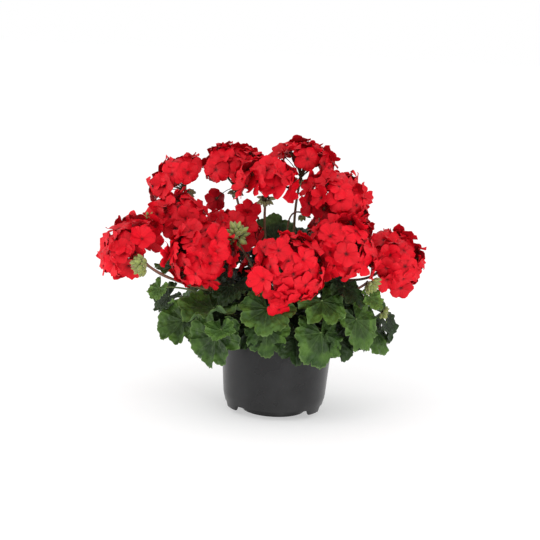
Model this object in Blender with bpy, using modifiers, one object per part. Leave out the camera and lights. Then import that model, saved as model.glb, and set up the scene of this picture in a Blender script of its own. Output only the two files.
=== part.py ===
"""Potted zonal geranium: a nursery pot, its soil, stems, leaves, bud clusters and flower heads.

Metres, +Z up, the front of the plant at -Y.  The origin is the middle of the pot's flat base.
Azimuths are in degrees, 0 at the front and 90 at +X.
"""

import math

import bmesh
import bpy
from mathutils import Matrix, Vector

# ---------------------------------------------------------------- driving sizes
GAP = 0.0003                  # clearance between neighbouring pieces

POT_HEIGHT = 0.118
RIM_RADIUS = 0.0825           # outside of the rolled collar
RIM_DEPTH = 0.010             # height of the collar
RIM_STEP = 0.0023             # how far the collar stands out from the wall
FOOT_RADIUS = 0.0727          # outside of the wall at its lower edge
FOOT_BEND = 0.010             # height over which the wall turns in at its lower edge
FOOT_TURN = 0.0045            # how far it turns in there
WALL = 0.0018
FLOOR_HEIGHT = 0.014          # underside of the raised ring round the base
SKIRT_HEIGHT = 0.006          # lowest edge of the three corner feet
BASE_RADIUS = 0.045           # flat disc that the pot stands on
FOOT_AZIMUTHS = (58.0, 178.0, -62.0)
FOOT_WIDTH = 26.0             # degrees
DRAIN_HOLES = 8
DRAIN_RADIUS = 0.005
EDGE_ROUND = 0.0008           # bevel on the collar's top and round the base disc
COLLAR_SLOPE = 0.0005         # fall of the collar's underside
CUT_INSIDE = 0.66             # ends of the skirt's notches, shares of the cutter's outer radius
CUT_OUTSIDE = 1.2             # outer radius of the cutter, share of the rim's
POT_STEPS = 40

HEADSPACE = 0.012             # from the soil up to the rim
SOIL_CROWN = 0.003
SOIL_STEPS = 20
ROOT_DEPTH = 0.030            # how deep the stems stand in the soil

STEM_RADIUS = 0.0050
STEM_SIDES = 10
STALK_RADIUS = 0.0021
PETIOLE_RADIUS = 0.0017
BUD_STALK_RADIUS = 0.0017

BLADE_THICKNESS = 0.0012
BLADE_SINUS = 24.0            # degrees, half the notch where the leaf stalk enters
BLADE_LOBES = 7
BLADE_RINGS = 3
LOBE_DEPTH = 0.07             # share of the blade's radius
BASAL_LOBE = 0.24             # how much shorter the blade is beside its notch
PLEAT = 0.04                  # how far each lobe folds down along its vein, share of the radius
HEAD_SCALLOP = 0.05           # how far a flower head's outline waves, share of the radius
BRANCH_PULL = 0.36            # how long a stalk keeps its first and last direction, share of its length

SOIL_TOP = POT_HEIGHT - HEADSPACE
UP = Vector((0.0, 0.0, 1.0))

# Stems: azimuth, distance from the axis at the soil and at the tip, height of the tip over the soil.
STEMS = {
    "stem_center": (0.0, 0.000, 0.006, 0.099),
    "stem_front_left": (-52.0, 0.024, 0.052, 0.074),
    "stem_front_right": (50.0, 0.024, 0.052, 0.074),
    "stem_back_left": (-132.0, 0.024, 0.052, 0.084),
    "stem_back_right": (130.0, 0.024, 0.052, 0.084),
}

# Flower heads: middle (its height over the rim), radius, rise of the dome, depth under it, where
# the dome faces (azimuth, degrees off vertical), its stem and where on it, over the soil.
FLOWERS = {
    "left_top": ((-0.157, 0.088, 0.196), 0.040, 0.026, 0.020, (-90.0, 38.0), "stem_back_left", 0.060),
    "back_left_top": ((-0.076, 0.078, 0.218), 0.040, 0.032, 0.028, (-120.0, 10.0), "stem_back_left", 0.070),
    "center_top": ((-0.027, -0.010, 0.214), 0.033, 0.026, 0.024, (0.0, 20.0), "stem_center", 0.084),
    "back_right_top": ((0.026, 0.078, 0.234), 0.035, 0.026, 0.024, (120.0, 10.0), "stem_back_right", 0.070),
    "right_top": ((0.074, 0.022, 0.188), 0.045, 0.037, 0.022, (75.0, 35.0), "stem_center", 0.074),
    "left_low": ((-0.209, -0.033, 0.111), 0.043, 0.038, 0.022, (-70.0, 45.0), "stem_front_left", 0.046),
    "left": ((-0.151, 0.012, 0.147), 0.042, 0.034, 0.018, (-80.0, 25.0), "stem_back_left", 0.048),
    "front_left": ((-0.110, -0.082, 0.118), 0.043, 0.038, 0.026, (-40.0, 35.0), "stem_front_left", 0.060),
    "center": ((-0.060, 0.004, 0.130), 0.030, 0.034, 0.022, (-60.0, 15.0), "stem_center", 0.060),
    "front": ((0.010, -0.110, 0.110), 0.046, 0.042, 0.026, (5.0, 55.0), "stem_front_right", 0.044),
    "front_right": ((0.085, -0.055, 0.132), 0.043, 0.038, 0.024, (50.0, 30.0), "stem_front_right", 0.060),
    "right_low": ((0.160, 0.018, 0.104), 0.042, 0.038, 0.024, (85.0, 50.0), "stem_back_right", 0.066),
    "back_left": ((-0.090, 0.118, 0.106), 0.040, 0.034, 0.020, (-145.0, 40.0), "stem_back_left", 0.044),
    "back_right": ((0.088, 0.112, 0.128), 0.040, 0.034, 0.020, (145.0, 40.0), "stem_back_right", 0.058),
}

# Bud clusters: middle (its height over the rim), radius, half height, facing, stem, place on it.
BUDS = {
    "left": ((-0.195, -0.087, 0.099), 0.013, 0.012, (-76.0, 54.0), "stem_front_left", 0.054),
    "center": ((-0.064, -0.068, 0.148), 0.014, 0.012, (0.0, 60.0), "stem_front_left", 0.056),
    "top": ((0.028, 0.034, 0.169), 0.009, 0.008, (90.0, 105.0), "stem_center", 0.070),
    "right": ((0.151, -0.012, 0.034), 0.010, 0.009, (80.0, 135.0), "stem_front_right", 0.036),
    "right_high": ((0.130, -0.036, 0.078), 0.013, 0.012, (80.0, 48.0), "stem_front_right", 0.046),
}

# Leaves: azimuth, distance and height over the rim of the point where the stalk meets the blade,
# blade radius, heading off the azimuth, droop, twist, cup, stem and place on it over the soil.
LEAVES = {
    "front_left_hanging": (-46.0, 0.119, 0.006, 0.044, 4.0, 68.0, 0.0, 0.06, "stem_front_left", 0.012),
    "left_low": (-80.0, 0.138, 0.012, 0.038, 0.0, 46.0, -35.0, 0.10, "stem_front_left", 0.022),
    "front_left": (-45.0, 0.128, 0.046, 0.047, -12.0, 6.0, 0.0, 0.20, "stem_front_left", 0.032),
    "front": (-8.0, 0.114, 0.055, 0.039, 0.0, 48.0, -8.0, 0.04, "stem_center", 0.026),
    "front_hanging": (-8.0, 0.104, 0.023, 0.033, 4.0, 66.0, 0.0, -0.08, "stem_center", 0.011),
    "front_right_hanging": (32.0, 0.112, 0.020, 0.043, 2.0, 62.0, 0.0, -0.08, "stem_front_right", 0.012),
    "front_right": (36.0, 0.100, 0.062, 0.038, -8.0, 38.0, 0.0, 0.06, "stem_front_right", 0.034),
    "right_front": (65.0, 0.121, 0.032, 0.042, 2.0, 50.0, 15.0, 0.06, "stem_front_right", 0.024),
    "right_low": (93.0, 0.138, 0.008, 0.039, 0.0, 54.0, 30.0, -0.06, "stem_front_right", 0.016),
    "right": (112.0, 0.138, 0.033, 0.037, 0.0, 20.0, 0.0, 0.12, "stem_back_right", 0.026),
    "right_high": (97.0, 0.096, 0.056, 0.034, 0.0, 12.0, 0.0, 0.10, "stem_front_right", 0.050),
    "left": (-100.0, 0.146, 0.088, 0.036, 0.0, 14.0, -25.0, 0.10, "stem_back_left", 0.036),
    "left_back": (-112.0, 0.136, 0.034, 0.040, 0.0, 38.0, -30.0, 0.06, "stem_back_left", 0.024),
    "top": (-172.0, 0.080, 0.118, 0.038, 0.0, -54.0, 0.0, 0.06, "stem_center", 0.086),
    "back_hanging": (180.0, 0.112, 0.018, 0.041, 0.0, 58.0, 0.0, -0.06, "stem_back_right", 0.012),
    "back_right_low": (152.0, 0.122, 0.048, 0.042, 0.0, 34.0, 0.0, 0.08, "stem_back_right", 0.032),
    "back_left_low": (-152.0, 0.126, 0.040, 0.042, 0.0, 34.0, 0.0, 0.08, "stem_back_left", 0.032),
    "back_right_hanging": (128.0, 0.126, 0.012, 0.040, 0.0, 52.0, 0.0, -0.05, "stem_back_right", 0.018),
    "back_left_hanging": (-134.0, 0.126, 0.010, 0.041, 0.0, 54.0, 0.0, -0.05, "stem_back_left", 0.012),
    "back": (176.0, 0.086, 0.079, 0.040, 0.0, 22.0, 0.0, 0.10, "stem_back_left", 0.052),
}


# ---------------------------------------------------------------- scene helpers
def clear_scene():
    """Remove what the scene starts with."""
    for obj in list(bpy.data.objects):
        bpy.data.objects.remove(obj, do_unlink=True)


def make_collection(name):
    """Return a new collection linked to the scene."""
    collection = bpy.data.collections.new(name)
    bpy.context.scene.collection.children.link(collection)
    return collection


def make_material(name, color, roughness, metallic=0.0):
    """Return a Principled material with a plain colour."""
    material = bpy.data.materials.new(name)
    material.use_nodes = True
    shader = material.node_tree.nodes["Principled BSDF"]
    shader.inputs["Base Color"].default_value = (*color, 1.0)
    shader.inputs["Roughness"].default_value = roughness
    shader.inputs["Metallic"].default_value = metallic
    return material


def add_mesh_object(name, mesh, collection, material=None):
    """Put a mesh in the scene as an object of that name."""
    obj = bpy.data.objects.new(name, mesh)
    collection.objects.link(obj)
    if material is not None:
        mesh.materials.append(material)
    return obj


def mark_cutter(obj):
    """Keep a guide or cutter out of the model."""
    obj.hide_render = True
    obj.display_type = "WIRE"


def add_boolean(obj, operand, operation):
    """Cut or join an object with another."""
    modifier = obj.modifiers.new(operation.lower(), "BOOLEAN")
    modifier.operation = operation
    modifier.object = operand
    modifier.solver = "EXACT"


# ---------------------------------------------------------------- directions and paths
def outward(azimuth):
    """Return the horizontal unit vector at an azimuth in degrees."""
    angle = math.radians(azimuth)
    return Vector((math.sin(angle), -math.cos(angle), 0.0))


def facing(azimuth, off_vertical):
    """Return the unit vector that leans off vertical towards an azimuth."""
    lean = math.radians(off_vertical)
    return outward(azimuth) * math.sin(lean) + UP * math.cos(lean)


def over_rim(place):
    """Return a place whose height is given over the pot's rim."""
    return Vector(place) + UP * POT_HEIGHT


def stem_axis(stem, height):
    """Return the middle of a stem and its direction at a height over the soil."""
    azimuth, at_soil, at_tip, tip_height = STEMS[stem]
    share = max(0.0, height / tip_height)
    spread = at_tip - at_soil
    point = outward(azimuth) * (at_soil + spread * share ** 1.5) + UP * (SOIL_TOP + height)
    slope = 1.5 * spread * share ** 0.5 / tip_height
    return point, (outward(azimuth) * slope + UP).normalized()


def bezier(start, start_pull, end_pull, end, count):
    """Return points along a cubic curve."""
    points = []
    for index in range(count):
        t = index / (count - 1)
        s = 1.0 - t
        points.append(
            start * s ** 3 + start_pull * 3 * s * s * t + end_pull * 3 * s * t * t + end * t ** 3
        )
    return points


def branch_path(stem, height, target, arrival, radius, spread=45.0, count=7):
    """Return the path of a stalk from the side of a stem to a target point.

    It leaves the stem on the side of the target, at `spread` degrees to the stem and one
    gap clear of its skin, and reaches the target along `arrival`.
    """
    root, axis = stem_axis(stem, height)
    towards = target - root
    aside = (towards - axis * towards.dot(axis)).normalized()
    angle = math.radians(spread)
    leaving = axis * math.cos(angle) + aside * math.sin(angle)
    clear = STEM_RADIUS + GAP + radius * math.cos(angle)
    start = root + leaving * (clear / math.sin(angle))
    pull = BRANCH_PULL * (target - start).length
    return bezier(start, start + leaving * pull, target - arrival * pull, target, count)


def add_tube(name, points, radius, collection, material, sides=6):
    """Make a round stalk along points: a curve with a bevel and filled caps."""
    curve = bpy.data.curves.new(name, "CURVE")
    curve.dimensions = "3D"
    curve.bevel_depth = radius
    curve.bevel_resolution = (sides - 4) // 2
    curve.use_fill_caps = True
    spline = curve.splines.new("POLY")
    spline.points.add(len(points) - 1)
    for spline_point, point in zip(spline.points, points):
        spline_point.co = (*point, 1.0)
    if material is not None:
        curve.materials.append(material)
    obj = bpy.data.objects.new(name, curve)
    collection.objects.link(obj)
    return obj


def tube_to_mesh(tube, collection):
    """Turn a tube into a closed mesh object, so that it can be cut or joined."""
    bpy.context.view_layer.update()
    evaluated = tube.evaluated_get(bpy.context.evaluated_depsgraph_get())
    mesh = bpy.data.meshes.new_from_object(evaluated)
    name, place = tube.name, tube.matrix_world.copy()
    bpy.data.objects.remove(tube, do_unlink=True)
    bm = bmesh.new()
    bm.from_mesh(mesh)
    bmesh.ops.remove_doubles(bm, verts=bm.verts, dist=1e-6)
    bmesh.ops.recalc_face_normals(bm, faces=bm.faces)
    bm.to_mesh(mesh)
    bm.free()
    obj = bpy.data.objects.new(name, mesh)
    collection.objects.link(obj)
    obj.matrix_world = place
    return obj


# ---------------------------------------------------------------- pot and soil
def wall_radius(height):
    """Return the outside radius of the pot's straight wall at a height."""
    collar_foot = POT_HEIGHT - RIM_DEPTH
    share = (height - FLOOR_HEIGHT) / (collar_foot - FLOOR_HEIGHT)
    return FOOT_RADIUS + (RIM_RADIUS - RIM_STEP - FOOT_RADIUS) * share


def add_turned(name, profile, steps, collection, material):
    """Turn a profile, given from the top down its outer side, about the Z axis."""
    mesh = bpy.data.meshes.new(name)
    edges = [(index, index + 1) for index in range(len(profile) - 1)]
    mesh.from_pydata([(radius, 0.0, height) for radius, height in profile], edges, [])
    obj = add_mesh_object(name, mesh, collection, material)
    screw = obj.modifiers.new("turn", "SCREW")
    screw.steps = steps
    screw.render_steps = steps
    screw.use_merge_vertices = True
    screw.merge_threshold = 0.00001
    screw.use_smooth_shade = True
    return obj


def pot_profile():
    """Return the pot's section: up the inside from the floor, over the rim, down the outside."""
    collar_foot = POT_HEIGHT - RIM_DEPTH
    floor = FLOOR_HEIGHT + WALL
    bend_top = FLOOR_HEIGHT + FOOT_BEND
    skirt_radius = wall_radius(bend_top) - FOOT_TURN
    inner_bend = skirt_radius - WALL
    inside = [
        (0.0, WALL),
        (BASE_RADIUS - 2 * WALL, WALL),
        (BASE_RADIUS - WALL, floor),
        (inner_bend, floor),
        (wall_radius(bend_top) - WALL, bend_top),
        (wall_radius(collar_foot) - WALL, collar_foot),
        (RIM_RADIUS - RIM_STEP, POT_HEIGHT),
    ]
    outside = [
        (RIM_RADIUS, POT_HEIGHT - EDGE_ROUND),
        (RIM_RADIUS, collar_foot),
        (wall_radius(collar_foot), collar_foot - COLLAR_SLOPE),
        (wall_radius(bend_top), bend_top),
        (skirt_radius + 0.4 * FOOT_TURN, FLOOR_HEIGHT),
        (skirt_radius, SKIRT_HEIGHT),
        (skirt_radius - WALL, SKIRT_HEIGHT),
        (inner_bend, FLOOR_HEIGHT),
        (BASE_RADIUS, FLOOR_HEIGHT),
        (BASE_RADIUS, EDGE_ROUND),
        (BASE_RADIUS - EDGE_ROUND, 0.0),
        (0.0, 0.0),
    ]
    return inside + outside


def soil_profile():
    """Return the soil's section, one gap inside the pot, from its crown down the outside."""
    collar_foot = POT_HEIGHT - RIM_DEPTH
    floor = FLOOR_HEIGHT + WALL
    bend_top = FLOOR_HEIGHT + FOOT_BEND
    skirt_radius = wall_radius(bend_top) - FOOT_TURN
    clear = WALL + 2 * GAP
    return [
        (0.0, SOIL_TOP + SOIL_CROWN),
        (0.5 * RIM_RADIUS, SOIL_TOP + 0.7 * SOIL_CROWN),
        (wall_radius(min(SOIL_TOP, collar_foot)) - clear, SOIL_TOP),
        (wall_radius(bend_top) - clear, bend_top),
        (skirt_radius - clear, floor + GAP),
        (BASE_RADIUS - WALL - 2 * GAP, floor + GAP),
        (BASE_RADIUS - 2 * WALL - 2 * GAP, WALL + GAP),
        (0.0, WALL + GAP),
    ]


def add_skirt_cutter(index, start, end, cutters):
    """Make the sector that is cut out of the skirt between two feet."""
    count = 8
    rim = []
    for step in range(count + 1):
        azimuth = start + (end - start) * step / count
        rim.append(outward(azimuth) * (RIM_RADIUS * CUT_OUTSIDE))
    bm = bmesh.new()
    inner = [bm.verts.new(point * CUT_INSIDE) for point in rim]
    outer = [bm.verts.new(point) for point in rim]
    faces = [
        bm.faces.new((inner[k], outer[k], outer[k + 1], inner[k + 1])) for k in range(count)
    ]
    extruded = bmesh.ops.extrude_face_region(bm, geom=faces)
    moved = [item for item in extruded["geom"] if isinstance(item, bmesh.types.BMVert)]
    bmesh.ops.translate(bm, vec=(0.0, 0.0, FLOOR_HEIGHT + 0.001), verts=moved)
    bmesh.ops.translate(bm, vec=(0.0, 0.0, -0.001 - GAP), verts=bm.verts)
    bmesh.ops.recalc_face_normals(bm, faces=bm.faces)
    mesh = bpy.data.meshes.new(f"skirt_cutter_{index}")
    bm.to_mesh(mesh)
    bm.free()
    cutter = add_mesh_object(mesh.name, mesh, cutters)
    mark_cutter(cutter)
    return cutter


def add_drain_cutters(cutters):
    """Make the drain holes through the raised ring, as one object of separate pegs."""
    bm = bmesh.new()
    skirt_inside = wall_radius(FLOOR_HEIGHT + FOOT_BEND) - FOOT_TURN - WALL
    ring_middle = 0.5 * (BASE_RADIUS + skirt_inside)
    for hole in range(DRAIN_HOLES):
        azimuth = 360.0 * (hole + 0.5) / DRAIN_HOLES
        place = outward(azimuth) * ring_middle + UP * (FLOOR_HEIGHT + 0.5 * WALL)
        bmesh.ops.create_cone(
            bm, cap_ends=True, segments=8, radius1=DRAIN_RADIUS, radius2=DRAIN_RADIUS,
            depth=4 * WALL, matrix=Matrix.Translation(place),
        )
    mesh = bpy.data.meshes.new("drain_cutter")
    bm.to_mesh(mesh)
    bm.free()
    cutter = add_mesh_object("drain_cutter", mesh, cutters)
    mark_cutter(cutter)
    return cutter


def build_pot(parts, cutters):
    """Make the pot: a turned shell with a notched skirt and drain holes."""
    plastic = make_material("pot_plastic", (0.045, 0.045, 0.047), 0.42)
    pot = add_turned("pot", pot_profile(), POT_STEPS, parts, plastic)
    feet = sorted(FOOT_AZIMUTHS)
    for index, azimuth in enumerate(feet):
        following = feet[(index + 1) % len(feet)] + (360.0 if index + 1 == len(feet) else 0.0)
        cutter = add_skirt_cutter(
            index, azimuth + 0.5 * FOOT_WIDTH, following - 0.5 * FOOT_WIDTH, cutters
        )
        add_boolean(pot, cutter, "DIFFERENCE")
    add_boolean(pot, add_drain_cutters(cutters), "DIFFERENCE")


def stem_points(stem, low, high, count):
    """Return points up a stem's middle between two heights over the soil."""
    return [
        stem_axis(stem, low + (high - low) * index / (count - 1))[0] for index in range(count)
    ]


def build_soil(parts, cutters):
    """Make the soil, with a socket for each stem."""
    earth = make_material("potting_soil", (0.035, 0.024, 0.016), 0.95)
    soil = add_turned("potting_soil", soil_profile(), SOIL_STEPS, parts, earth)
    for stem in STEMS:
        path = stem_points(stem, -ROOT_DEPTH - GAP, 2 * SOIL_CROWN, 3)
        tube = add_tube(f"{stem}_socket", path, STEM_RADIUS + GAP, cutters, None, STEM_SIDES)
        socket = tube_to_mesh(tube, cutters)
        mark_cutter(socket)
        add_boolean(soil, socket, "DIFFERENCE")


def build_stems(parts):
    """Make the woody main stems, standing in their sockets."""
    bark = make_material("stem_bark", (0.16, 0.15, 0.07), 0.6)
    for stem, (_, _, _, tip_height) in STEMS.items():
        path = stem_points(stem, -ROOT_DEPTH, 2 * SOIL_CROWN, 3)
        path += stem_points(stem, 2 * SOIL_CROWN, tip_height, 5)[1:]
        add_tube(stem, path, STEM_RADIUS, parts, bark, STEM_SIDES)


# ---------------------------------------------------------------- flowers and buds
def add_dome(name, middle, axis, radius, rise, depth, segments, rings, scallops, collection, material):
    """Make a rounded head: a sphere stretched to its rise and depth, with a scalloped outline."""
    bm = bmesh.new()
    bmesh.ops.create_uvsphere(bm, u_segments=segments, v_segments=rings, radius=1.0)
    for vert in bm.verts:
        turn = math.atan2(vert.co.y, vert.co.x)
        across = math.hypot(vert.co.x, vert.co.y)
        widen = radius * (1.0 + HEAD_SCALLOP * math.cos(scallops * turn) * across)
        height = rise if vert.co.z > 0.0 else depth
        vert.co = (vert.co.x * widen, vert.co.y * widen, vert.co.z * height)
    turn_to_axis = UP.rotation_difference(axis).to_matrix().to_4x4()
    bm.transform(Matrix.Translation(middle) @ turn_to_axis)
    mesh = bpy.data.meshes.new(name)
    bm.to_mesh(mesh)
    bm.free()
    mesh.shade_smooth()
    return add_mesh_object(name, mesh, collection, material)


def build_flowers(parts):
    """Make the flower heads and the stalks that carry them."""
    petal = make_material("red_petals", (0.60, 0.012, 0.022), 0.5)
    stalk_green = make_material("flower_stalks", (0.16, 0.13, 0.05), 0.5)
    for name, (middle, radius, rise, depth, faces, stem, height) in FLOWERS.items():
        middle, axis = over_rim(middle), facing(*faces)
        add_dome(
            f"flower_head_{name}", middle, axis, radius, rise, depth, 14, 8, 7, parts, petal
        )
        hub = middle - axis * (depth + GAP)
        path = branch_path(stem, height, hub, axis, STALK_RADIUS, spread=38.0, count=7)
        add_tube(f"flower_stalk_{name}", path, STALK_RADIUS, parts, stalk_green)


def build_buds(parts, cutters):
    """Make the bud clusters, each in one piece with its stalk."""
    bud_green = make_material("buds", (0.20, 0.30, 0.06), 0.55)
    for name, (middle, radius, depth, faces, stem, height) in BUDS.items():
        middle, axis = over_rim(middle), facing(*faces)
        cluster = add_dome(
            f"bud_cluster_{name}", middle, axis, radius, depth, depth, 10, 6, 5, parts, bud_green
        )
        path = branch_path(stem, height, middle, axis, BUD_STALK_RADIUS, count=7)
        stalk = tube_to_mesh(
            add_tube(f"bud_stalk_{name}", path, BUD_STALK_RADIUS, cutters, None), cutters
        )
        mark_cutter(stalk)
        add_boolean(cluster, stalk, "UNION")


# ---------------------------------------------------------------- leaves
def leaf_frame(azimuth, heading, droop, twist):
    """Return the blade's tip direction, side direction and upward normal."""
    away = outward(azimuth + heading)
    fall = math.radians(droop)
    tip = away * math.cos(fall) - UP * math.sin(fall)
    normal = away * math.sin(fall) + UP * math.cos(fall)
    normal.rotate(Matrix.Rotation(math.radians(twist), 3, tip))
    return tip, normal.cross(tip), normal


def blade_point(u, v, radius, cup):
    """Return the blade's place (along tip, across, up) for a turn u and a reach v, both 0..1.

    The turn sweeps from one side of the notch round the tip to the other.  The outline is a
    circle drawn in beside the notch, with shallow lobes, and the blade is a shallow bowl.
    """
    half_sweep = math.pi - math.radians(BLADE_SINUS)
    turn = (2.0 * u - 1.0) * half_sweep
    lobes = -math.cos(2.0 * math.pi * BLADE_LOBES * u)
    drawn_in = 1.0 - BASAL_LOBE * (turn / math.pi) ** 2
    reach = radius * v * drawn_in * (1.0 + LOBE_DEPTH * lobes * v)
    up = radius * (cup * v * v - PLEAT * lobes * v)
    return reach * math.cos(turn), reach * math.sin(turn), up


def add_blade(name, joint, axes, radius, cup, collection, material):
    """Make a leaf blade: a grid wrapped round the stalk's end, with a thickness."""
    tip, side, normal = axes
    bm = bmesh.new()
    columns, rows = 2 * BLADE_LOBES, BLADE_RINGS
    bmesh.ops.create_grid(bm, x_segments=columns, y_segments=rows, size=1.0)
    for vert in bm.verts:
        along, across, up = blade_point(
            0.5 * (vert.co.x + 1.0), 0.5 * (vert.co.y + 1.0), radius, cup
        )
        vert.co = joint + tip * along + side * across + normal * up
    bmesh.ops.remove_doubles(bm, verts=bm.verts, dist=1e-6)
    bmesh.ops.recalc_face_normals(bm, faces=bm.faces)
    mesh = bpy.data.meshes.new(name)
    bm.to_mesh(mesh)
    bm.free()
    mesh.shade_smooth()
    blade = add_mesh_object(name, mesh, collection, material)
    shell = blade.modifiers.new("thickness", "SOLIDIFY")
    shell.thickness = BLADE_THICKNESS
    shell.offset = 0.0
    return blade


def build_leaves(parts, cutters):
    """Make the leaves, each a blade in one piece with its stalk."""
    green = make_material("leaves", (0.045, 0.105, 0.025), 0.55)
    for name, leaf in LEAVES.items():
        azimuth, distance, joint_height, radius, heading, droop, twist, cup, stem, height = leaf
        joint = outward(azimuth) * distance + UP * (POT_HEIGHT + joint_height)
        axes = leaf_frame(azimuth, heading, droop, twist)
        blade = add_blade(f"leaf_{name}", joint, axes, radius, cup, parts, green)
        end = joint + axes[2] * BLADE_THICKNESS
        arrival = (axes[2] + axes[0] + 0.5 * outward(azimuth)).normalized()
        path = branch_path(stem, height, end, arrival, PETIOLE_RADIUS, spread=55.0, count=6)
        stalk = tube_to_mesh(
            add_tube(f"leaf_stalk_{name}", path, PETIOLE_RADIUS, cutters, None), cutters
        )
        mark_cutter(stalk)
        add_boolean(blade, stalk, "UNION")


def main():
    """Build the whole plant."""
    clear_scene()
    parts = make_collection("potted_geranium")
    cutters = make_collection("cutters")
    build_pot(parts, cutters)
    build_soil(parts, cutters)
    build_stems(parts)
    build_flowers(parts)
    build_buds(parts, cutters)
    build_leaves(parts, cutters)


main()
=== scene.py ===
"""Looks of a potted zonal geranium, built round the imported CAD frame.

Metres, +Z up, the front of the plant at -Y and the middle of the pot's base at the origin.
Azimuths are in degrees, 0 at the front and 90 at +X.
"""

import logging
import math
from dataclasses import dataclass
from enum import Enum
from typing import Any

import bpy
import numpy as np
from mathutils import Matrix, Vector


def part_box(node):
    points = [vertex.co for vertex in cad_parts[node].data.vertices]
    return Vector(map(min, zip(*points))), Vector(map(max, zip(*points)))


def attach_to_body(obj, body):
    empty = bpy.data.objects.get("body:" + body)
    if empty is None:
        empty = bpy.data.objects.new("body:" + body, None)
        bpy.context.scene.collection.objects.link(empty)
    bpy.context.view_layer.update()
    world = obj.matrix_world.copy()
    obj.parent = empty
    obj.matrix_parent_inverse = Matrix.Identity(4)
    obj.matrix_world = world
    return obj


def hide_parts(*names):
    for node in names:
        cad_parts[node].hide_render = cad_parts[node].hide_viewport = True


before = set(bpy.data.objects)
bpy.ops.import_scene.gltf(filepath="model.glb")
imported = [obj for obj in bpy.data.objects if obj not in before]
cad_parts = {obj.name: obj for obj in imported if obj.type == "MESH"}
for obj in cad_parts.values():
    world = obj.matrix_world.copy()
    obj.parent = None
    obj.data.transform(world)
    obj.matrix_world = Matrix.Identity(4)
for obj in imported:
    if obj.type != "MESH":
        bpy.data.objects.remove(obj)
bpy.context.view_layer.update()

LOG = logging.getLogger("geranium")
BODY = "root"
UP = np.array([0.0, 0.0, 1.0])
GOLDEN_TURN = math.pi * (3.0 - math.sqrt(5.0))
ANY_TURN = (0.0, 6.28)        # range of random phases and turns, in radians
RIM_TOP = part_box("pot")[1].z
SOIL_LEVEL = RIM_TOP - 0.012
STEM_RADIUS = 0.0050
CLEAR = 0.0003                # gap between a stalk's end and the skin it grows from

Array = np.ndarray


# ---------------------------------------------------------------- directions and curves
def unit(vectors: Array) -> Array:
    """Return the vectors scaled to length one along their last axis."""
    return vectors / np.maximum(np.linalg.norm(vectors, axis=-1, keepdims=True), 1e-12)


def outward(azimuth: float) -> Array:
    """Return the horizontal unit vector at an azimuth in degrees."""
    angle = math.radians(azimuth)
    return np.array([math.sin(angle), -math.cos(angle), 0.0])


def facing(azimuth: float, off_vertical: float) -> Array:
    """Return the unit vector that leans off vertical towards an azimuth, in degrees."""
    lean = math.radians(off_vertical)
    return outward(azimuth) * math.sin(lean) + UP * math.cos(lean)


def spherical(polar: Array, turn: Array) -> Array:
    """Return unit vectors from their angle to the third axis and their turn about it."""
    ring = np.sin(polar)
    return np.stack([ring * np.cos(turn), ring * np.sin(turn), np.cos(polar)], axis=1)


def smooth(values: Array, low: float, high: float) -> Array:
    """Return 0 below low, 1 above high, and the smooth step 3s^2 - 2s^3 between them."""
    share = np.clip((values - low) / (high - low), 0.0, 1.0)
    return share * share * (3.0 - 2.0 * share)


def cross_frame(axis: Array, hint: Array) -> Array:
    """Return frames with their third axis along `axis` and their first near `hint`.

    Args:
        axis: directions, with x, y and z in the last dimension.
        hint: directions that aren't parallel to them.

    Returns:
        Matrices whose columns are the three axes of each frame.
    """
    third = unit(axis)
    first = unit(hint - third * np.sum(hint * third, axis=-1, keepdims=True))
    return np.stack([first, np.cross(third, first), third], axis=-1)


def add_object(name: str, data: bpy.types.ID) -> bpy.types.Object:
    """Make an object and link it into the scene.

    Args:
        name: the object's name.
        data: its mesh, light or camera.

    Returns:
        The object.
    """
    obj = bpy.data.objects.new(name, data)
    bpy.context.scene.collection.objects.link(obj)
    return obj


def fill(items: Any, key: str, values: Array, kind: type) -> None:
    """Set one property of all items from an array."""
    items.foreach_set(key, values.astype(kind).ravel())


def bezier(start: Array, leave: Array, arrive: Array, end: Array, count: int) -> Array:
    """Return points along cubic Bezier curves.

    The curve is s^3 start + 3 s^2 t leave + 3 s t^2 arrive + t^3 end, with s = 1 - t.

    Args:
        start: first points, one row for each curve.
        leave: second control points.
        arrive: third control points.
        end: last points.
        count: points along each curve.

    Returns:
        An array of curves, points along each, and x, y, z.
    """
    t = np.linspace(0.0, 1.0, count)[None, :, None]
    s = 1.0 - t
    a, b, c, d = (np.atleast_2d(p)[:, None, :] for p in (start, leave, arrive, end))
    return s ** 3 * a + 3 * s * s * t * b + 3 * s * t * t * c + t ** 3 * d


# ---------------------------------------------------------------- meshes from patches
@dataclass(frozen=True)
class Weave:
    """The faces of one patch, and where each corner lies in the patch's unit square."""

    count: int
    quads: Array
    quad_uv: Array
    triangles: Array
    triangle_uv: Array


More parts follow.
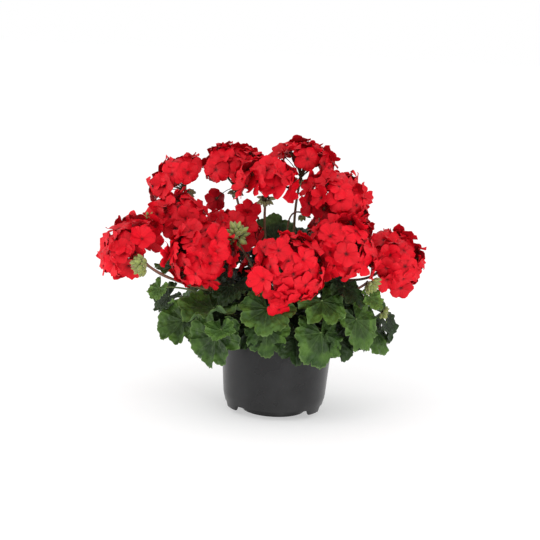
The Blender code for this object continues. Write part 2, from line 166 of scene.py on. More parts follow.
def sheet_weave(rows: int, columns: int, pole: bool = False) -> Weave:
    """Return the faces of a thin closed sheet: an upper and a lower grid that share their rim.

    Vertices are the upper grid row by row and then the lower grid's inner points.

    Args:
        rows: points along the sheet.
        columns: points across it.
        pole: whether the first row is one point.

    Returns:
        The weave, with the upper side in the left half of its square.
    """
    upper = np.arange(rows * columns).reshape(rows, columns)
    if pole:
        upper = np.vstack([np.zeros((1, columns), int), upper[1:] - columns + 1])
    lower = upper.copy()
    inner = np.arange((rows - 2) * (columns - 2)).reshape(rows - 2, columns - 2)
    lower[1:-1, 1:-1] = upper.max() + 1 + inner
    row, column = np.divmod(np.arange((rows - 1) * (columns - 1)), columns - 1)
    corner_rows = row[:, None] + np.array([0, 0, 1, 1])
    corner_columns = column[:, None] + np.array([0, 1, 1, 0])
    flat = (row == 0) & pole
    sides: list[tuple[Array, ...]] = []
    for side, grid in enumerate((upper, lower)):
        u = (corner_columns / (columns - 1) * 0.98 + side) / 2.0
        uv = np.stack([u, corner_rows / (rows - 1)], axis=-1)
        order = slice(None, None, -1) if side == 0 else slice(None)
        faces, uv = grid[corner_rows, corner_columns][:, order], uv[:, order]
        keep = [0, 1, 2] if side == 0 else [1, 2, 3]
        sides.append((faces[~flat], uv[~flat], faces[flat][:, keep], uv[flat][:, keep]))
    return Weave(int(lower.max()) + 1, *(np.vstack(pair) for pair in zip(*sides)))


def tube_weave(rings: int, sides: int) -> Weave:
    """Return the faces of a closed tube: rings of points, then one point at each end.

    Args:
        rings: rings along the tube.
        sides: points round each ring.

    Returns:
        The weave, with the ends' fans as saw teeth at the top and bottom of its square.
    """
    low, high = 0.04, 0.96
    ring, side = np.divmod(np.arange((rings - 1) * sides), sides)
    corner_rings = ring[:, None] + np.array([0, 0, 1, 1])
    corner_sides = side[:, None] + np.array([0, 1, 1, 0])
    quads = corner_rings * sides + corner_sides % sides
    level = low + (high - low) * corner_rings / (rings - 1)
    quad_uv = np.stack([corner_sides / sides, level], axis=-1)
    k = np.arange(sides)
    turn, start, last = (k + 1) % sides, rings * sides, (rings - 1) * sides
    fans = np.vstack([
        np.stack([turn, k, np.full(sides, start)], 1),
        np.stack([last + k, last + turn, np.full(sides, start + 1)], 1),
    ])
    a, b, middle = k / sides, (k + 1) / sides, (k + 0.5) / sides
    u = np.vstack([np.stack([b, a, middle], 1), np.stack([a, b, middle], 1)])
    v = np.repeat([[low, low, 0.0], [high, high, 1.0]], sides, axis=0)
    return Weave(rings * sides + 2, quads, quad_uv, fans, np.stack([u, v], axis=-1))


def tube_points(paths: Array, radii: Array, sides: int) -> Array:
    """Return the points of closed tubes carried along paths.

    Each ring is the path's point plus the radius times (cos a, sin a) in the plane across
    the path, and the two end points are the path's own.

    Args:
        paths: curves, points along each, and x, y, z.
        radii: the radius at each point, for all curves or for each.
        sides: points round each ring.

    Returns:
        An array of curves, points of each tube, and x, y, z.
    """
    curves, count, _ = paths.shape
    tangent = unit(np.gradient(paths, axis=1))
    bend = np.cross(paths[:, -1] - paths[:, 0], tangent[:, 0])
    hint = unit(bend + 1e-5 * np.cross(paths[:, -1] - paths[:, 0], np.array([0.31, 0.17, 0.93])))
    frames = cross_frame(tangent, np.broadcast_to(hint[:, None, :], tangent.shape))
    angle = np.arange(sides) * 2.0 * math.pi / sides
    ring = np.stack([np.cos(angle), np.sin(angle), 0 * angle], axis=-1)
    spread = np.einsum("cnij,sj->cnsi", frames, ring)
    radii = np.broadcast_to(radii, (curves, count))
    skin = paths[:, :, None, :] + spread * radii[:, :, None, None]
    return np.concatenate(
        [skin.reshape(curves, count * sides, 3), paths[:, :1], paths[:, -1:]], axis=1
    )


class Piece:
    """Patches gathered into one named mesh, with the attributes its finishes read."""

    ATTRIBUTES = ("along", "across", "tone", "under")

    def __init__(self, name: str, finishes: list[bpy.types.Material], sharp: float = 55.0) -> None:
        """Start an empty piece.

        Args:
            name: the object's name.
            finishes: materials, in the order that patches number them.
            sharp: angle in degrees above which an edge shows as a crease.
        """
        self.name = name
        self.finishes = finishes
        self.sharp = math.radians(sharp)
        self.points: list[Array] = []
        self.values: dict[str, list[Array]] = {key: [] for key in self.ATTRIBUTES}
        self.faces: list[tuple[Array, Array, Array, int]] = []
        self.charts: list[tuple[float, float]] = []
        self.total = 0

    def add(
        self, weave: Weave, points: Array, finish: int, size: tuple[float, float], **values: Array
    ) -> None:
        """Add copies of a patch.

        Args:
            weave: the patch's faces.
            points: copies, points of each, and x, y, z.
            finish: number of the material.
            size: width and height in metres of a copy's share of the baked map.
            values: attribute values, which spread over copies and points.
        """
        copies = len(points)
        start = self.total + np.arange(copies) * weave.count
        chart = len(self.charts) + np.arange(copies)
        for faces, uv in ((weave.quads, weave.quad_uv), (weave.triangles, weave.triangle_uv)):
            if len(faces):
                numbered = (faces[None] + start[:, None, None]).reshape(-1, faces.shape[1])
                spread = np.broadcast_to(uv[None], (copies, *uv.shape)).reshape(-1, *uv.shape[1:])
                self.faces.append((numbered, spread, np.repeat(chart, len(faces)), finish))
        self.charts += [size] * copies
        self.points.append(points.reshape(-1, 3))
        for key in self.ATTRIBUTES:
            value = np.asarray(values.get(key, 0.0), float)
            if value.ndim == 1 and len(value) == copies:
                value = value[:, None]
            self.values[key].append(np.broadcast_to(value, (copies, weave.count)).ravel())
        self.total += copies * weave.count

    def add_tubes(
        self, paths: Array, radii: Array, sides: int, finish: int, tone: Array | float = 0.5
    ) -> None:
        """Add closed tubes along paths, with `along` running from 0 to 1 on each.

        Args:
            paths: curves, points along each, and x, y, z.
            radii: the radius at each point, for all curves or for each.
            sides: points round each ring.
            finish: number of the material.
            tone: the tubes' tone, for all or for each.
        """
        count = paths.shape[1]
        length = float(np.linalg.norm(np.diff(paths[0], axis=0), axis=1).sum())
        girth = 2.0 * math.pi * float(np.mean(radii))
        along = np.concatenate([np.repeat(np.linspace(0.0, 1.0, count), sides), [0.0, 1.0]])
        around = np.concatenate([np.tile(np.arange(sides) / sides, count), [0.5, 0.5]])
        self.add(
            tube_weave(count, sides), tube_points(paths, radii, sides), finish, (girth, length),
            along=along[None], across=around[None], tone=np.asarray(tone, float),
        )

    def chart_places(self) -> tuple[Array, float]:
        """Pack the charts on shelves, tallest first.

        Returns:
            Each chart's lower left corner, and the side of the square that holds them.
        """
        sizes = np.array(self.charts)
        margin = 0.03 * float(np.sqrt(np.mean(sizes[:, 0] * sizes[:, 1])))
        cells = sizes + margin
        side = math.sqrt(float(np.sum(cells[:, 0] * cells[:, 1])) * 1.08) + float(cells.max())
        places = np.zeros_like(sizes)
        x = y = shelf = 0.0
        for index in np.argsort(-sizes[:, 1], kind="stable"):
            width, height = cells[index]
            if x + width > side:
                x, y, shelf = 0.0, y + shelf, 0.0
            places[index] = (x, y)
            x, shelf = x + width, max(shelf, height)
        return places + 0.5 * margin, max(side, y + shelf)

    def build(self) -> bpy.types.Object:
        """Make the mesh object.

        Returns:
            The object, with the baked map's places, attributes and materials.
        """
        mesh = bpy.data.meshes.new(self.name)
        points = np.concatenate(self.points)
        faces, uvs, charts, numbers = zip(*self.faces)
        corners = np.concatenate([f.ravel() for f in faces])
        sides = np.concatenate([np.full(len(f), f.shape[1]) for f in faces])
        finish = np.concatenate([np.full(len(f), number) for f, number in zip(faces, numbers)])
        mesh.vertices.add(len(points))
        mesh.loops.add(len(corners))
        mesh.polygons.add(len(sides))
        fill(mesh.vertices, "co", points, np.float32)
        fill(mesh.loops, "vertex_index", corners, np.int32)
        fill(mesh.polygons, "loop_start", np.cumsum(sides) - sides, np.int32)
        fill(mesh.polygons, "material_index", finish, np.int32)
        mesh.update(calc_edges=True)
        places, side = self.chart_places()
        sizes = np.array(self.charts)
        chart_uv = [
            ((places[chart][:, None] + uv * sizes[chart][:, None]) / side).ravel()
            for uv, chart in zip(uvs, charts)
        ]
        fill(mesh.uv_layers.new(name="OFBake").data, "uv", np.concatenate(chart_uv), np.float32)
        for key, parts in self.values.items():
            attribute = mesh.attributes.new(key, "FLOAT", "POINT")
            fill(attribute.data, "value", np.concatenate(parts), np.float32)
        for material in self.finishes:
            mesh.materials.append(material)
        mesh.shade_smooth()
        mesh.set_sharp_from_angle(angle=self.sharp)
        return add_object(self.name, mesh)

    def place(self, slot: str, *nodes: str) -> bpy.types.Object:
        """Build the piece, let it ride on the plant's body and stand for its CAD nodes.

        Args:
            slot: the record's material slot; it is not used.
            nodes: CAD nodes that it replaces.

        Returns:
            The object.
        """
        obj = self.build()
        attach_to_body(obj, BODY)
        if nodes:
            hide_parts(*nodes)
        LOG.info("%s: %d faces", self.name, len(obj.data.polygons))
        return obj


# ---------------------------------------------------------------- shader maths
class Shade:
    """A number at each point of a surface: a socket that takes part in Python expressions."""

    def __init__(self, tree: "Shading", socket: bpy.types.NodeSocket) -> None:
        """Wrap a node's output socket."""
        self.tree = tree
        self.socket = socket

    def _math(self, operation: str, *operands: Any) -> "Shade":
        """Return a Math node's result on the operands, in order."""
        inputs = dict(enumerate(operands))
        return self.tree.shade("ShaderNodeMath", {"operation": operation}, inputs)

    def __add__(self, other: Any) -> "Shade":
        """Return the sum."""
        return self._math("ADD", self, other)

    __radd__ = __add__

    def __mul__(self, other: Any) -> "Shade":
        """Return the product."""
        return self._math("MULTIPLY", self, other)

    __rmul__ = __mul__

    def __sub__(self, other: Any) -> "Shade":
        """Return this less the other."""
        return self._math("SUBTRACT", self, other)

    def __rsub__(self, other: Any) -> "Shade":
        """Return the other less this."""
        return self._math("SUBTRACT", other, self)

    def __pow__(self, other: Any) -> "Shade":
        """Return this to a power."""
        return self._math("POWER", self, other)

    def __abs__(self) -> "Shade":
        """Return the size without the sign."""
        return self._math("ABSOLUTE", self)

    def fraction(self) -> "Shade":
        """Return what is over the whole number below."""
        return self._math("FRACT", self)

    def largest(self, other: Any) -> "Shade":
        """Return the larger of the two."""
        return self._math("MAXIMUM", self, other)

    def step(self, low: float, high: float) -> "Shade":
        """Return a smooth step from 0 at low to 1 at high.

        Args:
            low: the value that gives 0.
            high: the value that gives 1, which may be the smaller of the two.

        Returns:
            The step.
        """
        node = self.tree.make(
            "ShaderNodeMapRange", {"interpolation_type": "SMOOTHSTEP"},
            {"Value": self, "From Min": min(low, high), "From Max": max(low, high)},
        )
        rising = Shade(self.tree, node.outputs["Result"])
        return rising if high > low else 1.0 - rising


class Shading:
    """The node tree of one material, ending in a Principled shader."""

    def __init__(self, name: str, **constants: Any) -> None:
        """Start a material.

        Args:
            name: the material's name.
            constants: values of the shader's sockets, with _ for a space in their names.
        """
        self.material = bpy.data.materials.new(name)
        self.material.use_nodes = True
        self.nodes = self.material.node_tree.nodes
        self.links = self.material.node_tree.links
        self.shader = self.nodes["Principled BSDF"]
        for key, value in constants.items():
            self.shader.inputs[key.replace("_", " ")].default_value = value

    def make(
        self, kind: str, settings: dict[str, Any] | None = None,
        inputs: dict[Any, Any] | None = None,
    ) -> bpy.types.Node:
        """Add a node.

        Args:
            kind: the node's type.
            settings: its properties.
            inputs: values, Shades or sockets, by the input's name or number.

        Returns:
            The node.
        """
        node = self.nodes.new(kind)
        for key, value in (settings or {}).items():
            setattr(node, key, value)
        for key, value in (inputs or {}).items():
            socket = node.inputs[key]
            source = value.socket if isinstance(value, Shade) else value
            if isinstance(source, bpy.types.NodeSocket):
                self.links.new(source, socket)
            else:
                socket.default_value = source
        return node

    def shade(
        self, kind: str, settings: dict[str, Any] | None = None,
        inputs: dict[Any, Any] | None = None, output: Any = 0,
    ) -> Shade:
        """Add a node and return one of its outputs as a number."""
        return Shade(self, self.make(kind, settings, inputs).outputs[output])

    def attribute(self, name: str) -> Shade:
        """Return a piece's own attribute."""
        return self.shade("ShaderNodeAttribute", {"attribute_name": name}, output="Fac")

    def place(self) -> bpy.types.NodeSocket:
        """Return the Object coordinates."""
        return self.make("ShaderNodeTexCoord").outputs["Object"]

    def from_axis(self) -> Shade:
        """Work out the distance from the plant's upright axis.

        Returns:
            The distance in metres.
        """
        parts = self.make("ShaderNodeSeparateXYZ", None, {0: self.place()})
        x, y = Shade(self, parts.outputs["X"]), Shade(self, parts.outputs["Y"])
        return (x * x + y * y) ** 0.5

    def noise(self, scale: float, detail: float = 3.0, vector: Any = None) -> Shade:
        """Add a noise texture.

        Args:
            scale: how fine it is.
            detail: its number of octaves.
            vector: what it runs on, in place of Object coordinates.

        Returns:
            The noise, from 0 to 1.
        """
        return self.shade(
            "ShaderNodeTexNoise", None,
            {"Vector": vector or self.place(), "Scale": scale, "Detail": detail}, "Fac",
        )

    def vector(self, x: Any, y: Any, z: Any) -> bpy.types.NodeSocket:
        """Return a vector made of three numbers."""
        return self.make("ShaderNodeCombineXYZ", None, {0: x, 1: y, 2: z}).outputs[0]

    def mix(self, factor: Any, first: Any, second: Any) -> bpy.types.NodeSocket:
        """Return the colour that goes from first to second with the factor."""
        a, b = ((*c, 1.0) if isinstance(c, tuple) else c for c in (first, second))
        return self.make("ShaderNodeMix", {"data_type": "RGBA"}, {0: factor, 6: a, 7: b}).outputs[2]

    def finish(
        self, colour: Any, roughness: Any = None, height: Shade | None = None, depth: float = 0.001
    ) -> bpy.types.Material:
        """Join the results to the shader.

        Args:
            colour: base colour.
            roughness: roughness, where it varies.
            height: relief from 0 to 1, if there is any.
            depth: what a relief of 1 stands for, in metres.

        Returns:
            The material.
        """
        self.links.new(colour, self.shader.inputs["Base Color"])
        if roughness is not None:
            self.links.new(roughness.socket, self.shader.inputs["Roughness"])
        if height is not None:
            relief = {"Height": height, "Distance": depth, "Strength": 1.0}
            bump = self.make("ShaderNodeBump", None, relief)
            self.links.new(bump.outputs["Normal"], self.shader.inputs["Normal"])
        return self.material


# ---------------------------------------------------------------- finishes
Colour = tuple[float, float, float]


@dataclass(frozen=True)
class PetalFinish:
    """Velvety red petals: darker in the throat, finely veined from the claw to the edge."""

    bright: Colour = (0.66, 0.0024, 0.013)
    deep: Colour = (0.38, 0.0014, 0.006)
    throat: Colour = (0.070, 0.001, 0.003)
    back: Colour = (0.36, 0.003, 0.010)

    def material(self) -> bpy.types.Material:
        """Make the material.

        Returns:
            The material.
        """
        s = Shading("red_petals", Roughness=0.55, Specular_IOR_Level=0.16)
        along, across, tone, under = map(s.attribute, Piece.ATTRIBUTES)
        rays = s.noise(1.0, 2.0, s.vector(across * 7.0 + tone * 40.0, along * 1.3, tone * 9.0))
        vein = rays.step(0.42, 0.62) * along.step(1.0, 0.3)
        body = s.mix(tone * 0.55 + vein * 0.35, self.bright, self.deep)
        body = s.mix(under * 0.75, body, self.back)
        colour = s.mix(along.step(0.20, 0.02) * (0.45 + tone * 0.55), body, self.throat)
        relief = rays * 0.6 + s.noise(900.0, 2.0) * 0.4
        return s.finish(colour, height=relief, depth=0.0005)


@dataclass(frozen=True)
class LeafFinish:
    """A zonal leaf: green with a darker band, paler veins and edge, and a paler underside.

    Its tone also carries painted light and shade from the blade's relief.  Near the plant's axis,
    where little light comes, it goes to a nearly black painted shade.
    """

    dark: Colour = (0.013, 0.038, 0.007)
    light: Colour = (0.084, 0.165, 0.026)
    zone: Colour = (0.009, 0.020, 0.006)
    vein: Colour = (0.100, 0.180, 0.045)
    edge: Colour = (0.130, 0.210, 0.060)
    back: Colour = (0.080, 0.130, 0.055)
    painted_axis_shade: Colour = (0.004, 0.007, 0.003)
    name: str = "zonal_leaves"
    lobes: int = 7

    def material(self) -> bpy.types.Material:
        """Make the material.

        Returns:
            The material.
        """
        s = Shading(self.name, Specular_IOR_Level=0.20)
        along, across, tone, under = map(s.attribute, Piece.ATTRIBUTES)
        lobe = abs((across * float(self.lobes)).fraction() - 0.5) * 2.0
        wander = s.noise(120.0, 3.0)
        main_vein = (lobe * along + wander * 0.03).step(0.09, 0.03)
        rib = ((along * 7.0 - lobe * 2.6 + wander * 0.5).fraction() - 0.5)
        side_vein = abs(rib).step(0.10, 0.02) * lobe.step(0.9, 0.5) * 0.55
        veins = main_vein.largest(side_vein) * along.step(1.0, 0.85)
        blotch = s.noise(45.0, 4.0)
        # On a leaf the tone carries painted light and shade: higher on raised parts of the blade,
        # lower in its folds.
        body = s.mix(blotch.step(0.35, 0.68) * 0.5 + tone * 0.5, self.dark, self.light)
        ring = (along + wander * 0.16).step(0.34, 0.46) * (along + wander * 0.16).step(0.80, 0.66)
        body = s.mix(ring * 0.55, body, self.zone)
        # Darker towards the joint, in the zone's colour.
        body = s.mix(along.step(0.72, 0.05) * 0.60, body, self.zone)
        body = s.mix(veins * 0.24, body, self.vein)
        body = s.mix((along + wander * 0.03).step(0.965, 1.01) * 0.55, body, self.edge)
        body = s.mix(under * 0.8, body, self.back)
        # Painted shade: towards the plant's axis, inside the bush, the colour goes nearly black.
        colour = s.mix(s.from_axis().step(0.112, 0.064) * 0.90, body, self.painted_axis_shade)
        relief = wander * 0.25 + s.noise(600.0, 3.0) * 0.45 - veins * 0.55
        roughness = 0.40 + blotch * 0.22
        return s.finish(colour, roughness, relief, 0.0007)


@dataclass(frozen=True)
class StalkFinish:
    """A fleshy stalk that goes from one colour at its foot to another at its end."""

    name: str
    foot: Colour
    end: Colour
    rough: float = 0.5
    gloss: float = 0.35

    def material(self) -> bpy.types.Material:
        """Make the material.

        Returns:
            The material.
        """
        s = Shading(self.name, Roughness=self.rough, Specular_IOR_Level=self.gloss)
        along, tone = s.attribute("along"), s.attribute("tone")
        blotch = s.noise(260.0, 3.0)
        body = s.mix(along.step(0.1, 0.95), self.foot, self.end)
        darker = tuple(0.45 * c for c in self.foot)
        colour = s.mix((blotch.step(0.45, 0.7) * 0.5 + tone * 0.4), body, darker)
        return s.finish(colour, height=s.noise(1500.0, 2.0), depth=0.0003)


@dataclass(frozen=True)
class BarkFinish:
    """Woody stem: grey-brown over green, ringed and scarred."""

    wood: Colour = (0.115, 0.085, 0.048)
    green: Colour = (0.120, 0.130, 0.045)

    def material(self) -> bpy.types.Material:
        """Make the material.

        Returns:
            The material.
        """
        s = Shading("stem_bark", Roughness=0.72)
        along = s.attribute("along")
        grain = s.noise(90.0, 5.0)
        scars = (along * 14.0 + grain * 0.7).fraction().step(0.12, 0.0)
        colour = s.mix((along + grain * 0.5).step(0.35, 0.95), self.wood, self.green)
        colour = s.mix(scars * 0.6, colour, tuple(0.4 * c for c in self.wood))
        return s.finish(colour, height=grain - scars * 0.6, depth=0.0012)


@dataclass(frozen=True)
class BudFinish:
    """Closed buds: hairy green sepals with brown seams, and red where petals push through."""

    name: str
    sepal: Colour
    seam: Colour
    tip: Colour

    def material(self) -> bpy.types.Material:
        """Make the material.

        Returns:
            The material.
        """
        s = Shading(self.name, Roughness=0.6, Sheen_Weight=0.25, Sheen_Roughness=0.5)
        along, across, tone = map(s.attribute, ("along", "across", "tone"))
        seams = abs((across * 5.0).fraction() - 0.5).step(0.34, 0.5)
        colour = s.mix(seams * 0.6 + tone * 0.35, self.sepal, self.seam)
        colour = s.mix(along.step(0.78, 1.0) * tone, colour, self.tip)
        return s.finish(colour, height=s.noise(1800.0, 2.0) - seams * 0.5, depth=0.0004)


@dataclass(frozen=True)
class PotFinish:
    """Satin dark grey moulded plastic, with faint haze and a little dust near the foot."""

    plastic: Colour = (0.0095, 0.0095, 0.0100)
    haze: Colour = (0.015, 0.015, 0.016)
    dust: Colour = (0.110, 0.105, 0.098)

    def material(self) -> bpy.types.Material:
        """Make the material.

        Returns:
            The material.
        """
        s = Shading("pot_plastic", Specular_IOR_Level=0.30)
        cloud = s.noise(28.0, 5.0)
        speck = s.noise(700.0, 2.0).step(0.66, 0.74)
        along = s.attribute("along")
        colour = s.mix(cloud.step(0.35, 0.75), self.plastic, self.haze)
        colour = s.mix(speck * 0.25 + along * cloud * 0.10, colour, self.dust)
        roughness = 0.24 + cloud * 0.08
        relief = s.noise(1500.0, 1.0) * 0.6 + s.noise(28.0, 0.0) * 0.4
        return s.finish(colour, roughness, relief, 0.0001)


@dataclass(frozen=True)
class SoilFinish:
    """Peat: nearly black brown crumbs, with lighter fibres."""

    peat: Colour = (0.020, 0.013, 0.009)
    fibre: Colour = (0.085, 0.052, 0.030)

    def material(self) -> bpy.types.Material:
        """Make the material.

        Returns:
            The material.
        """
        s = Shading("potting_soil", Roughness=0.95)
        crumb = s.noise(420.0, 5.0)
        colour = s.mix(crumb.step(0.52, 0.74), self.peat, self.fibre)
        return s.finish(colour, height=crumb + s.noise(1400.0, 3.0) * 0.5, depth=0.003)


@dataclass(frozen=True)
class CrumbFinish:
    """Loose bits on the soil: bark chips or perlite grains, by their tone."""

    chip: Colour = (0.090, 0.048, 0.024)
    perlite: Colour = (0.62, 0.60, 0.56)

    def material(self) -> bpy.types.Material:
        """Make the material.

        Returns:
            The material.
        """
        s = Shading("soil_bits", Roughness=0.9)
        tone = s.attribute("tone")
        grain = s.noise(900.0, 4.0)
        colour = s.mix(tone.step(0.70, 0.72), self.chip, self.perlite)
        colour = s.mix(grain.step(0.45, 0.7) * 0.5, colour, (0.03, 0.02, 0.014))
        return s.finish(colour, height=grain, depth=0.001)


class Finishes:
    """Every material of the plant and its pot."""

    def __init__(self) -> None:
        """Make the materials."""
        self.petal = PetalFinish().material()
        self.leaf = LeafFinish().material()
        # Painted shade: a darker copy of the leaf colours, for the leaves inside the bush.
        self.shaded_inner_leaf = LeafFinish(
            (0.006, 0.016, 0.004), (0.025, 0.052, 0.011), (0.005, 0.010, 0.003),
            (0.035, 0.062, 0.017), (0.042, 0.072, 0.021), (0.026, 0.042, 0.018),
            name="painted_shade_inner_leaves",
        ).material()
        self.young_leaf = LeafFinish(
            (0.045, 0.100, 0.018), (0.125, 0.230, 0.040), (0.035, 0.080, 0.018),
            (0.170, 0.260, 0.080), (0.180, 0.270, 0.080), (0.110, 0.170, 0.070),
            name="young_leaves",
        ).material()
        self.bark = BarkFinish().material()
        self.pot = PotFinish().material()
        self.soil = SoilFinish().material()
        self.crumbs = CrumbFinish().material()
        self.stalk = StalkFinish(
            "flower_stalks", (0.130, 0.125, 0.045), (0.170, 0.062, 0.042)
        ).material()
        self.pedicel = StalkFinish(
            "pedicels", (0.080, 0.060, 0.030), (0.050, 0.008, 0.008), 0.6, 0.15
        ).material()
        self.petiole = StalkFinish(
            "leaf_stalks", (0.120, 0.110, 0.042), (0.110, 0.165, 0.050)
        ).material()
        self.young_bud = BudFinish(
            "young_buds", (0.270, 0.330, 0.070), (0.130, 0.115, 0.040), (0.20, 0.07, 0.035)
        ).material()
        self.old_bud = BudFinish(
            "hub_buds", (0.205, 0.195, 0.068), (0.095, 0.068, 0.030), (0.17, 0.04, 0.025)
        ).material()


# ---------------------------------------------------------------- stems and branches
@dataclass(frozen=True)
class Stalk:
    """How a kind of stalk leaves its stem, and how its girth runs.

    At a share s of its length, the radius is its nominal one times foot less taper times s,
    plus a flare that comes in smoothly from flare_from to the end.
    """

    foot: float
    taper: float
    flare: float
    flare_from: float
    clearance: float
    spread: float
    count: int
    sides: int
    tone: float


FLOWER_STALK = Stalk(1.12, 0.20, 0.25, 0.93, 0.0021, 38.0, 30, 12, 0.3)
BUD_STALK = Stalk(1.1, 0.25, 0.5, 0.95, 0.0017, 45.0, 28, 10, 0.1)
LEAF_STALK = Stalk(1.25, 0.45, 0.35, 0.9, 0.0017, 55.0, 22, 9, 0.2)


@dataclass(frozen=True)
class Stem:
    """A woody stem: where it leaves the soil, where its tip is, and how high.

    Its distance from the plant's axis grows with the height to the power 1.5.
    """

    name: str
    azimuth: float
    at_soil: float
    at_tip: float
    tip_height: float

    def axis_at(self, height: float) -> tuple[Array, Array]:
        """Return the stem's middle and its direction at a height.

        Args:
            height: height over the soil.

        Returns:
            A point, and a unit vector.
        """
        share = max(0.0, height / self.tip_height)
        spread = self.at_tip - self.at_soil
        away = outward(self.azimuth)
        point = away * (self.at_soil + spread * share ** 1.5) + UP * (SOIL_LEVEL + height)
        slope = 1.5 * spread * share ** 0.5 / self.tip_height
        return point, unit(away * slope + UP)

    def grow(
        self, piece: Piece, finish: int, stalk: Stalk, radius: float, height: float,
        target: Array, arrival: Array,
    ) -> None:
        """Add a stalk from the stem's skin to a target.

        It leaves on the target's side, spread from the stem by the stalk's own angle, and
        each end keeps its direction over 0.36 of the distance.

        Args:
            piece: the piece that takes it.
            finish: number of its material.
            stalk: its kind.
            radius: its nominal radius.
            height: place on the stem, over the soil.
            target: where it ends.
            arrival: its direction there.
        """
        root, axis = self.axis_at(height)
        towards = target - root
        aside = unit(towards - axis * float(towards @ axis))
        angle = math.radians(stalk.spread)
        leaving = axis * math.cos(angle) + aside * math.sin(angle)
        clear = STEM_RADIUS + CLEAR + stalk.clearance * math.cos(angle)
        start = root + leaving * (clear / math.sin(angle))
        pull = 0.36 * float(np.linalg.norm(target - start))
        path = bezier(start, start + leaving * pull, target - arrival * pull, target, stalk.count)
        share = np.linspace(0.0, 1.0, stalk.count)
        flare = stalk.flare * smooth(share, stalk.flare_from, 1.0)
        girth = radius * (stalk.foot - stalk.taper * share + flare)
        piece.add_tubes(path, girth[None], stalk.sides, finish, stalk.tone)


CENTER = Stem("stem_center", 0, 0.000, 0.006, 0.099)
FRONT_LEFT = Stem("stem_front_left", -52, 0.024, 0.052, 0.074)
FRONT_RIGHT = Stem("stem_front_right", 50, 0.024, 0.052, 0.074)
BACK_LEFT = Stem("stem_back_left", -132, 0.024, 0.052, 0.084)
BACK_RIGHT = Stem("stem_back_right", 130, 0.024, 0.052, 0.084)


@dataclass
class StemSet:
    """The five main stems, ringed by leaf scars and rounded over at their tips."""

    rng: np.random.Generator
    rings: int = 60
    sides: int = 20
    buried: float = 0.012
    joint_every: float = 0.011

    def build(self, finishes: Finishes) -> None:
        """Make each stem as a tube whose radius swells at its joints.

        Args:
            finishes: the plant's materials.
        """
        for stem in (CENTER, FRONT_LEFT, FRONT_RIGHT, BACK_LEFT, BACK_RIGHT):
            share = np.linspace(0.0, 1.0, self.rings)
            heights = -self.buried + share * (stem.tip_height + self.buried)
            path = np.array([stem.axis_at(h)[0] for h in heights])
            joints = np.cos(2.0 * math.pi * (heights / self.joint_every + self.rng.random()))
            swell = 1.0 + 0.05 * np.maximum(joints, 0.0) ** 6
            closing = np.sqrt(np.clip(1.0 - smooth(share, 0.93, 1.0) * 0.97, 0.0, 1.0))
            radii = STEM_RADIUS * 0.96 * swell * closing
            piece = Piece(f"{stem.name}_bark", [finishes.bark], 70.0)
            piece.add_tubes(path[None], radii[None], self.sides, 0)
            piece.place("stem", stem.name)


# ---------------------------------------------------------------- flowers
class HeadForm(Enum):
    """How a flower head is filled: florets, and degrees from the middle to its last row."""

    UMBRELLA = (19, 86.0)
    DOME = (26, 100.0)
    BALL = (36, 126.0)
    LOOSE = (13, 98.0)


